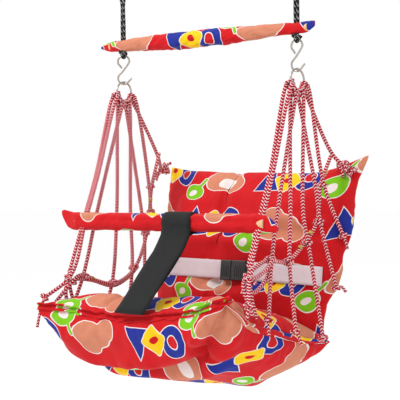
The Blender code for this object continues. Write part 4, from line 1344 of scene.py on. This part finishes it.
# Each sleeve's (x, radius, lift, flatness) places along it
SPREADER = [(-0.284, 0.002, 0.000, 0.7), (-0.262, 0.007, 0.0, 0.5), (-0.246, 0.0105, 0.0, 0.0),
            (-0.220, 0.0110, 0.0, 0.0), (-0.180, 0.0140, 0, 0), (-0.08, 0.0175, -0.001, 0),
            (0.05, 0.0170, -0.001, 0), (0.15, 0.0125, 0, 0), (0.214, 0.0105, 0, 0),
            (0.236, 0.0105, 0.0, 0.0), (0.248, 0.008, 0.002, 0.5), (0.262, 0.004, 0.006, 0.7)]
FRONT = [(-0.284, 0.0030, 0.017, 0.85), (-0.277, 0.0080, 0.012, 0.85), (-0.268, 0.0120, 0.005, 0.85),
         (-0.252, 0.0150, 0.0, 0.5), (-0.235, 0.0172, 0.0, 0.1), (-0.10, 0.0175, 0, 0), (0.10, 0.0175, 0, 0),
         (0.215, 0.0168, 0.0, 0.1), (0.236, 0.0130, -0.002, 0.5), (0.250, 0.0075, -0.005, 0.75),
         (0.262, 0.0025, -0.010, 0.8)]


def sleeve(name, profile, y, drop, squash, seed, wrinkle, ridge_rise, finish):
    """A cloth sleeve on a bar, pinched flat at its ends."""
    profile = np.array(profile)
    xs = np.arange(profile[0, 0], profile[-1, 0] + 0.0001, SLEEVE_STEP)
    radii, lifts, flats = (np.interp(xs, profile[:, 0], profile[:, c]) for c in (1, 2, 3))
    skin = Skin()
    for x, radius, lift, flat in zip(xs, radii, lifts, flats):
        uneven = 1 + 0.5 * noise.noise(Vector((x * 60, seed, 0)))
        for a in round_circle(SLEEVE_SIDES):
            out, up = math.cos(a), math.sin(a)
            fold = noise.noise(Vector((x * 42, out * 1.3, up * 1.3 + seed)))
            fold += 0.6 * noise.noise(Vector((x * 90 + a * 2, out * 2, up * 2 + seed + 9)))
            ridge = math.exp(-((a - RIDGE_AT) / RIDGE_WIDTH) ** 2)
            ridge -= GROOVE_SHARE * math.exp(-((a - RIDGE_AT - GROOVE_AFTER) / RIDGE_WIDTH) ** 2)
            r = radius * (1 + wrinkle * fold + ridge_rise * ridge * uneven)
            skin.verts.append(below(x, y + out * r * squash * (1 - flat),
                                    drop - lift - up * r * (1 + 0.45 * flat)))
    skin.close(0, len(xs), SLEEVE_SIDES, lambda row, k: (xs[row], k / SLEEVE_SIDES * SLEEVE_ROUND),
               ((xs[0], 0.0), (xs[-1], 0.0)), turned=True)
    return skin.piece(name, finish)


def cover_bar(piece, body, nodes):
    settle(piece, body, nodes)
    subdivide(piece)


# Everything together

SLOT_OF = {"crimp": "brass", "buckle": "black_plastic"}     # the CAD nodes that stay in view


def finish_cad_nodes(finishes):
    for name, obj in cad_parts.items():
        slot = "wood" if name.endswith("dowel") else SLOT_OF.get(name.split("_")[0])
        if slot:
            obj.data.materials.clear()
            obj.data.materials.append(finishes[slot])


def main():
    make_camera()
    black_rope = braid("black_braided_rope", shade(22, 22, 24), shade(170, 168, 165), 0.16, 0.012)
    red_rope = braid("red_white_braided_rope", shade(172, 8, 26), shade(240, 218, 222), 0.27, 0.0062)
    metal, plastic = steel_wire(), moulded_plastic()
    sides = (("left", -HALF_SPAN), ("right", HALF_SPAN))
    for side, x in sides:
        hanging_rope(side, x, black_rope)
    make_stage()
    for side, x in sides:
        hanging_knot(side, x, black_rope)
        s_hook(side, x, metal)
        steel_ring(side, x, metal)
        rope_net(side, red_rope)
    crotch_strap(webbing("black_webbing", shade(24, 25, 25), shade(33, 34, 34), 0.0022))
    seat, back = make_cushions()
    ruffle("seat_front_ruffle", seat, printed_cotton("printed_cotton_ruffle"))
    roll = printed_cotton("printed_cotton_roll", (0.13, 0.02))
    side_roll("seat_roll_right", seat, 1, roll)
    side_roll("seat_roll_left", seat, -1, roll)
    # A dark maroon thread with a woven bump, laid in the back's creases: painted crease shade
    tucks("back_crease_shade_thread", back, webbing("painted_crease_shade", shade(74, 14, 22), shade(48, 10, 16), 0.0012))
    buckle_ribs(plastic)
    waist_belt(back, webbing("white_webbing", shade(216, 204, 208), shade(202, 188, 193), 0.0018))
    spreader = sleeve("spreader_cover", SPREADER, 0, 0, 1.0, 2, 0.16, 0.0,
                      printed_cotton("printed_cotton_spreader", (0.085, 0.0008), 0.6))
    cover_bar(spreader, "spreader_bar", ["spreader_sleeve"])
    front = sleeve("front_bar_cover", FRONT, FRONT_BAR_Y, FRONT_BAR_DROP, 0.82, 5, 0.09, 0.13,
                   printed_cotton("printed_cotton_bar", (0.09, 0.0344), 0.5))
    cover_bar(front, "front_bar", ["front_bar_sleeve", "front_bar_padding"])
    finish_cad_nodes({"brass": brass(), "black_plastic": plastic, "wood": wood()})


main()
